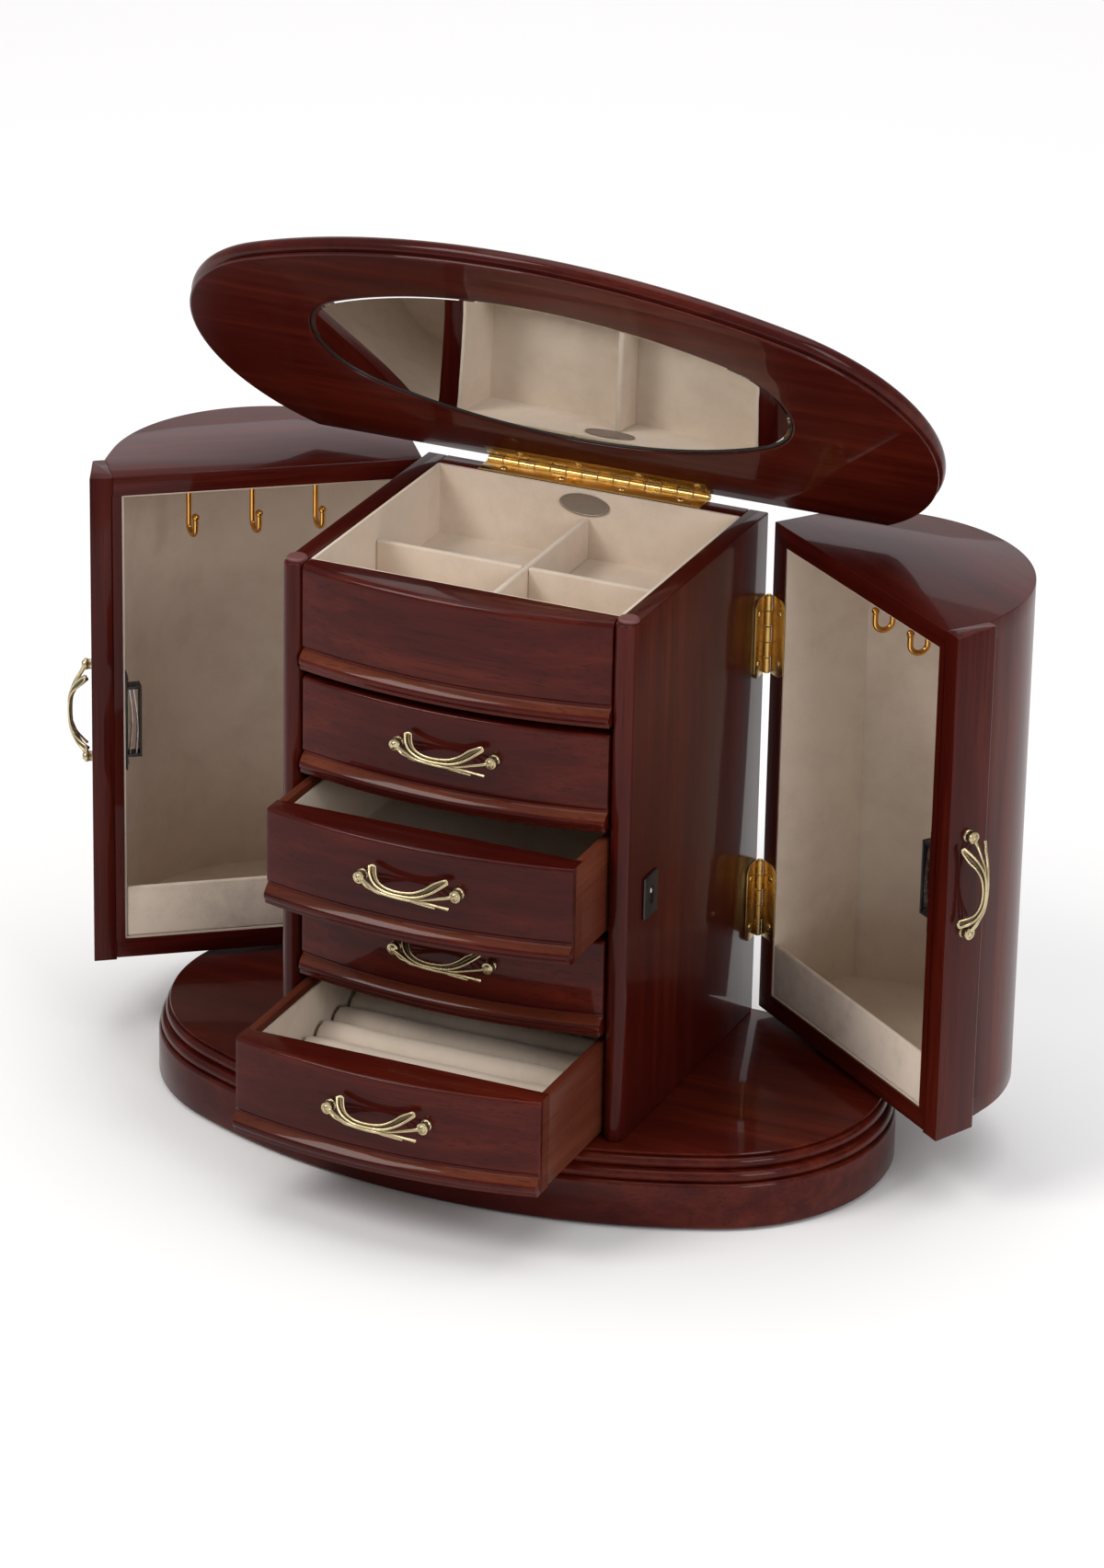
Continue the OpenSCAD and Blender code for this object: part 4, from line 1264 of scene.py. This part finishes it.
def pull_model():
    """A swirl pull: a ribbon with two ribs bowed between two posts, with leaf tips at its ends.
    It lies along X with its posts' feet at y = 0, and stands out towards -y."""
    parts = []
    rib_a = [(-20.6, -3.2, 6.6), (-18.6, -6.6, 3.4), (-14.5, -9.6, 0.9), (-8, -11.6, -0.7), (0, -12.0, -1.1),
             (8, -11.6, -0.6), (14, -9.6, 1.2), (18.4, -6.6, 3.6), (21.6, -3.4, 5.8)]
    rib_b = [(-17.0, -3.6, 6.9), (-15.2, -6.8, 4.4), (-12.2, -9.6, 2.4), (-7, -11.4, 1.1), (0, -12.0, 0.8),
             (7, -11.4, 1.5), (12, -9.6, 3.4), (15.6, -6.6, 5.6), (19.4, -3.8, 6.9)]
    web = [tuple((p + q) / 2 for p, q in zip(a, b)) for a, b in zip(rib_a, rib_b)]
    web = [(x, y + 1.0, z) for x, y, z in web]
    parts.append(strand(rib_a, [0.9, 0.72, 0.66, 0.7, 0.74, 0.7, 0.66, 0.75, 0.95]))
    parts.append(strand(rib_b, [0.5, 0.52, 0.52, 0.56, 0.56, 0.56, 0.52, 0.52, 0.5]))
    parts.append(strand(web, [1.3, 1.1, 0.85, 0.8, 0.8, 0.8, 0.9, 1.15, 1.1], dark_bronze))
    parts.append(strand([(-20.6, -3.2, 6.5), (-18.8, -3.0, 7.2), (-17.0, -3.4, 6.8)], [0.9, 0.8, 0.6]))
    parts.append(strand([(21.6, -3.4, 5.7), (21.0, -3.4, 7.0), (19.4, -3.8, 6.9)], [0.9, 0.8, 0.6]))
    foot = [(-26, -3.4, 0.2), (-22.5, -5.0, -0.6), (-18, -7.6, -1.1), (-11, -10.4, -2.2), (0, -11.6, -2.6),
            (9, -11.0, -2.8), (15, -8.8, -3.9), (19.5, -6.0, -5.6), (22.4, -4.0, -6.8)]
    parts.append(strand(foot, [1.1, 0.9, 0.85, 0.8, 0.8, 0.75, 0.75, 0.85, 1.15]))
    parts.append(strand([(26, -3.4, 0.2), (22, -5.0, -0.9), (17, -7.6, -1.3), (11, -10.0, -1.9), (4, -11.2, -2.2)],
                        [1.2, 0.9, 0.75, 0.65, 0.5]))
    parts.append(strand([(3, -11.2, -3.0), (9, -10.2, -4.0), (13, -7.8, -5.6), (16, -5.6, -6.9)],
                        [0.4, 0.55, 0.6, 0.7]))
    parts.append(strand([(-24.5, -4.4, -1.2), (-21, -5.4, -3.0), (-16, -7.6, -3.0), (-9, -10.2, -2.9)],
                        [0.5, 0.75, 0.6, 0.45]))
    parts.append(strand([(-20.5, -3.2, -4.6), (-17.5, -5.6, -4.2), (-13, -8.6, -3.6), (-7, -10.6, -3.0)],
                        [0.8, 0.65, 0.55, 0.4]))
    post = [(0, -1.3), (3.15, -1.3), (3.3, -0.2), (3.15, 0.4), (2.75, 0.8), (2.75, 2.2), (3.1, 2.8), (3.2, 3.6),
            (2.95, 4.2), (2.2, 4.5), (0, 4.5)]
    for x in (-26.0, 26.0):
        boss = turned_shape("post", [(r * MM, h * MM) for r, h in post], 28)
        turned(boss, Matrix.Translation((x * MM, 0, 0)) @ Matrix.Rotation(math.radians(90), 4, "X"))
        boss.data.materials.append(antique_brass)
        parts.append(smooth(boss, 35))
        parts.append(placed_screw((x * MM, -4.4 * MM, 0), (0, -1, 0), 2.15 * MM, antique_brass, cross_model))
    whole = joined(parts, "pull_model")
    return turned(whole, Matrix.Translation((0.7 * MM, 0, 0)) @ Matrix.Scale(0.955, 4, (1, 0, 0)))


pull = pull_model()
face_y = BOW_Y - BOW_R
for n in (1, 2, 3, 4):
    lo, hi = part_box("drawer_%d_pull" % n)
    mid_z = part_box("drawer_%d_front" % n)[0][2] + 30 * MM
    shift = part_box("drawer_%d_front" % n)[0][1] - front_lo[1]
    piece = copied(pull, "drawer_%d_swirl_pull" % n, Matrix.Translation((0, face_y + shift, mid_z)))
    rested(piece, "drawer_%d" % n, "drawer_%d_pull" % n, slot="antique_brass")
for s in (1, -1):
    stand = Matrix.Translation((DOOR_X + 12.25 * MM, STRIP_Y + 12.25 * MM * math.tan(STRIP_TURN), 172.5 * MM))
    stand = stand @ Matrix.Rotation(STRIP_TURN, 4, "Z") @ Matrix.Rotation(math.radians(-90), 4, "Y")
    piece = copied(pull, side_name[s] + "_door_swirl_pull", door_matrix[s] @ stand)
    rested(piece, side_name[s] + "_door", side_name[s] + "_door_pull", slot="antique_brass")
bpy.data.objects.remove(pull)

# ------------------------------------------------------------------ small parts

lo, hi = (Vector(v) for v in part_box("strike_plates"))
plates = []
for s in (1, -1):
    z_mid = (lo.z + hi.z) / 2
    body = board("strike", (side_x, -50.8 * MM, z_mid - 10.8 * MM), (side_x + 1.5 * MM, -35.2 * MM, z_mid + 10.8 * MM),
                 1.0 * MM, black_steel, 4)
    clear_selection()
    bpy.ops.mesh.primitive_cube_add(size=1, location=(side_x + 1.5 * MM, -43 * MM, z_mid),
                                    scale=(1.4 * MM, 3.2 * MM, 9 * MM))
    slot_cutter = bpy.context.object
    bpy.ops.object.transform_apply(location=True, rotation=True, scale=True)
    hollowed(body, slot_cutter)
    tongue = ball((side_x + 0.9 * MM, -43 * MM, z_mid + 2 * MM), 1.3 * MM, bright_steel, (0.6, 0.8, 1.2))
    whole = joined([body, tongue], "strike_plate")
    if s < 0:
        turned(whole, Matrix.Scale(-1, 4, (1, 0, 0)))
        outward(whole)
    plates.append(whole)
rested(joined(plates, "side_strike_plates"), "chest", "strike_plates", slot="dark_steel")

lo, hi = (Vector(v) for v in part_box("tray_plaque"))
mid = (lo + hi) / 2
clear_selection()
bpy.ops.mesh.primitive_cylinder_add(vertices=72, radius=1, depth=1, location=mid,
                                    scale=((hi.x - lo.x) / 2, (hi.z - lo.z) / 2, hi.y - lo.y),
                                    rotation=(math.pi / 2, 0, 0))
label = bpy.context.object
label.name = "blank_oval_plaque"
bpy.ops.object.transform_apply(location=True, rotation=True, scale=True)
edit("FACE")
bm = bmesh.from_edit_mesh(label.data)
for f in bm.faces:
    f.select = f.normal.y < -0.9
bmesh.update_edit_mesh(label.data)
bpy.ops.mesh.inset(thickness=0.5 * MM, depth=0)
bpy.ops.mesh.inset(thickness=0.15 * MM, depth=-0.25 * MM)
done()
eased(label, 0.12 * MM, 2, 50)
rested(label, "chest", "tray_plaque", material=plaque_metal, slot="plaque")
frame["nodes"]["lid_bumpers"].data.materials[0] = bumper_plastic
for obj in (screw_model, cross_model):
    bpy.data.objects.remove(obj)

# ------------------------------------------------------------------ camera, light and floor

yaw, pitch, roll = (math.radians(v) for v in (23.76, 23.72, 1.15))
back_dir = Vector((math.sin(yaw) * math.cos(pitch), -math.cos(yaw) * math.cos(pitch), math.sin(pitch)))
right_dir = Vector((math.cos(yaw), math.sin(yaw), 0))
up_dir = back_dir.cross(right_dir)
right_r = right_dir * math.cos(roll) + up_dir * math.sin(roll)
up_r = up_dir * math.cos(roll) - right_dir * math.sin(roll)
cam_data = bpy.data.cameras.new("camera")
camera = bpy.data.objects.new("camera", cam_data)
bpy.context.scene.collection.objects.link(camera)
turn = Matrix((right_r, up_r, back_dir)).transposed().to_4x4()
camera.matrix_world = Matrix.Translation((1.1991, -2.6774, 1.4705)) @ turn
cam_data.lens = 7218.9 * 36 / 1705
cam_data.sensor_width = 36
cam_data.clip_end = 50
bpy.context.scene.camera = camera

clear_selection()
bpy.ops.mesh.primitive_plane_add(size=14, location=(0, 0, -0.0002))
floor = bpy.context.object
floor.name = "studio_floor"
paper = Finish("studio_paper")
grain = paper.noise(paper.place(scale=(60, 60, 60)), 1.0, 2.0)
floor.data.materials.append(paper.set(Base_Color=paper.mix(grain * 0.1, (0.90, 0.90, 0.90), (0.87, 0.87, 0.87)),
                                      Roughness=0.9, Specular_IOR_Level=0.1))


def softbox(name, at, aim, width, height, power, colour=(1, 1, 1)):
    data = bpy.data.lights.new(name, "AREA")
    data.shape = "RECTANGLE"
    data.size, data.size_y = width, height
    data.energy = power
    data.color = colour
    lamp = bpy.data.objects.new(name, data)
    bpy.context.scene.collection.objects.link(lamp)
    direction = Vector(aim) - Vector(at)
    lamp.matrix_world = Matrix.Translation(at) @ direction.to_track_quat("-Z", "Y").to_matrix().to_4x4()
    return lamp


softbox("key_left", (-1.5, -2.0, 2.5), (0, 0, 0.15), 1.3, 1.3, 52, (1.0, 0.98, 0.96))
softbox("fill_right", (2.4, -1.6, 1.6), (0, 0, 0.2), 1.0, 1.6, 30, (0.98, 0.98, 1.0))
softbox("back_panel", (-1.0, 2.6, 1.35), (0, 0, 0.25), 2.8, 1.3, 7, (1.0, 0.93, 1.0))
softbox("overhead", (0.2, 0.8, 4.0), (0.1, 0.8, 0), 4.0, 4.0, 95)
world = bpy.data.worlds.new("studio")
world.use_nodes = True
world.node_tree.nodes["Background"].inputs[0].default_value = (1.0, 0.99, 0.98, 1)
world.node_tree.nodes["Background"].inputs[1].default_value = 0.42
bpy.context.scene.world = world
bpy.context.scene.view_settings.view_transform = "Standard"
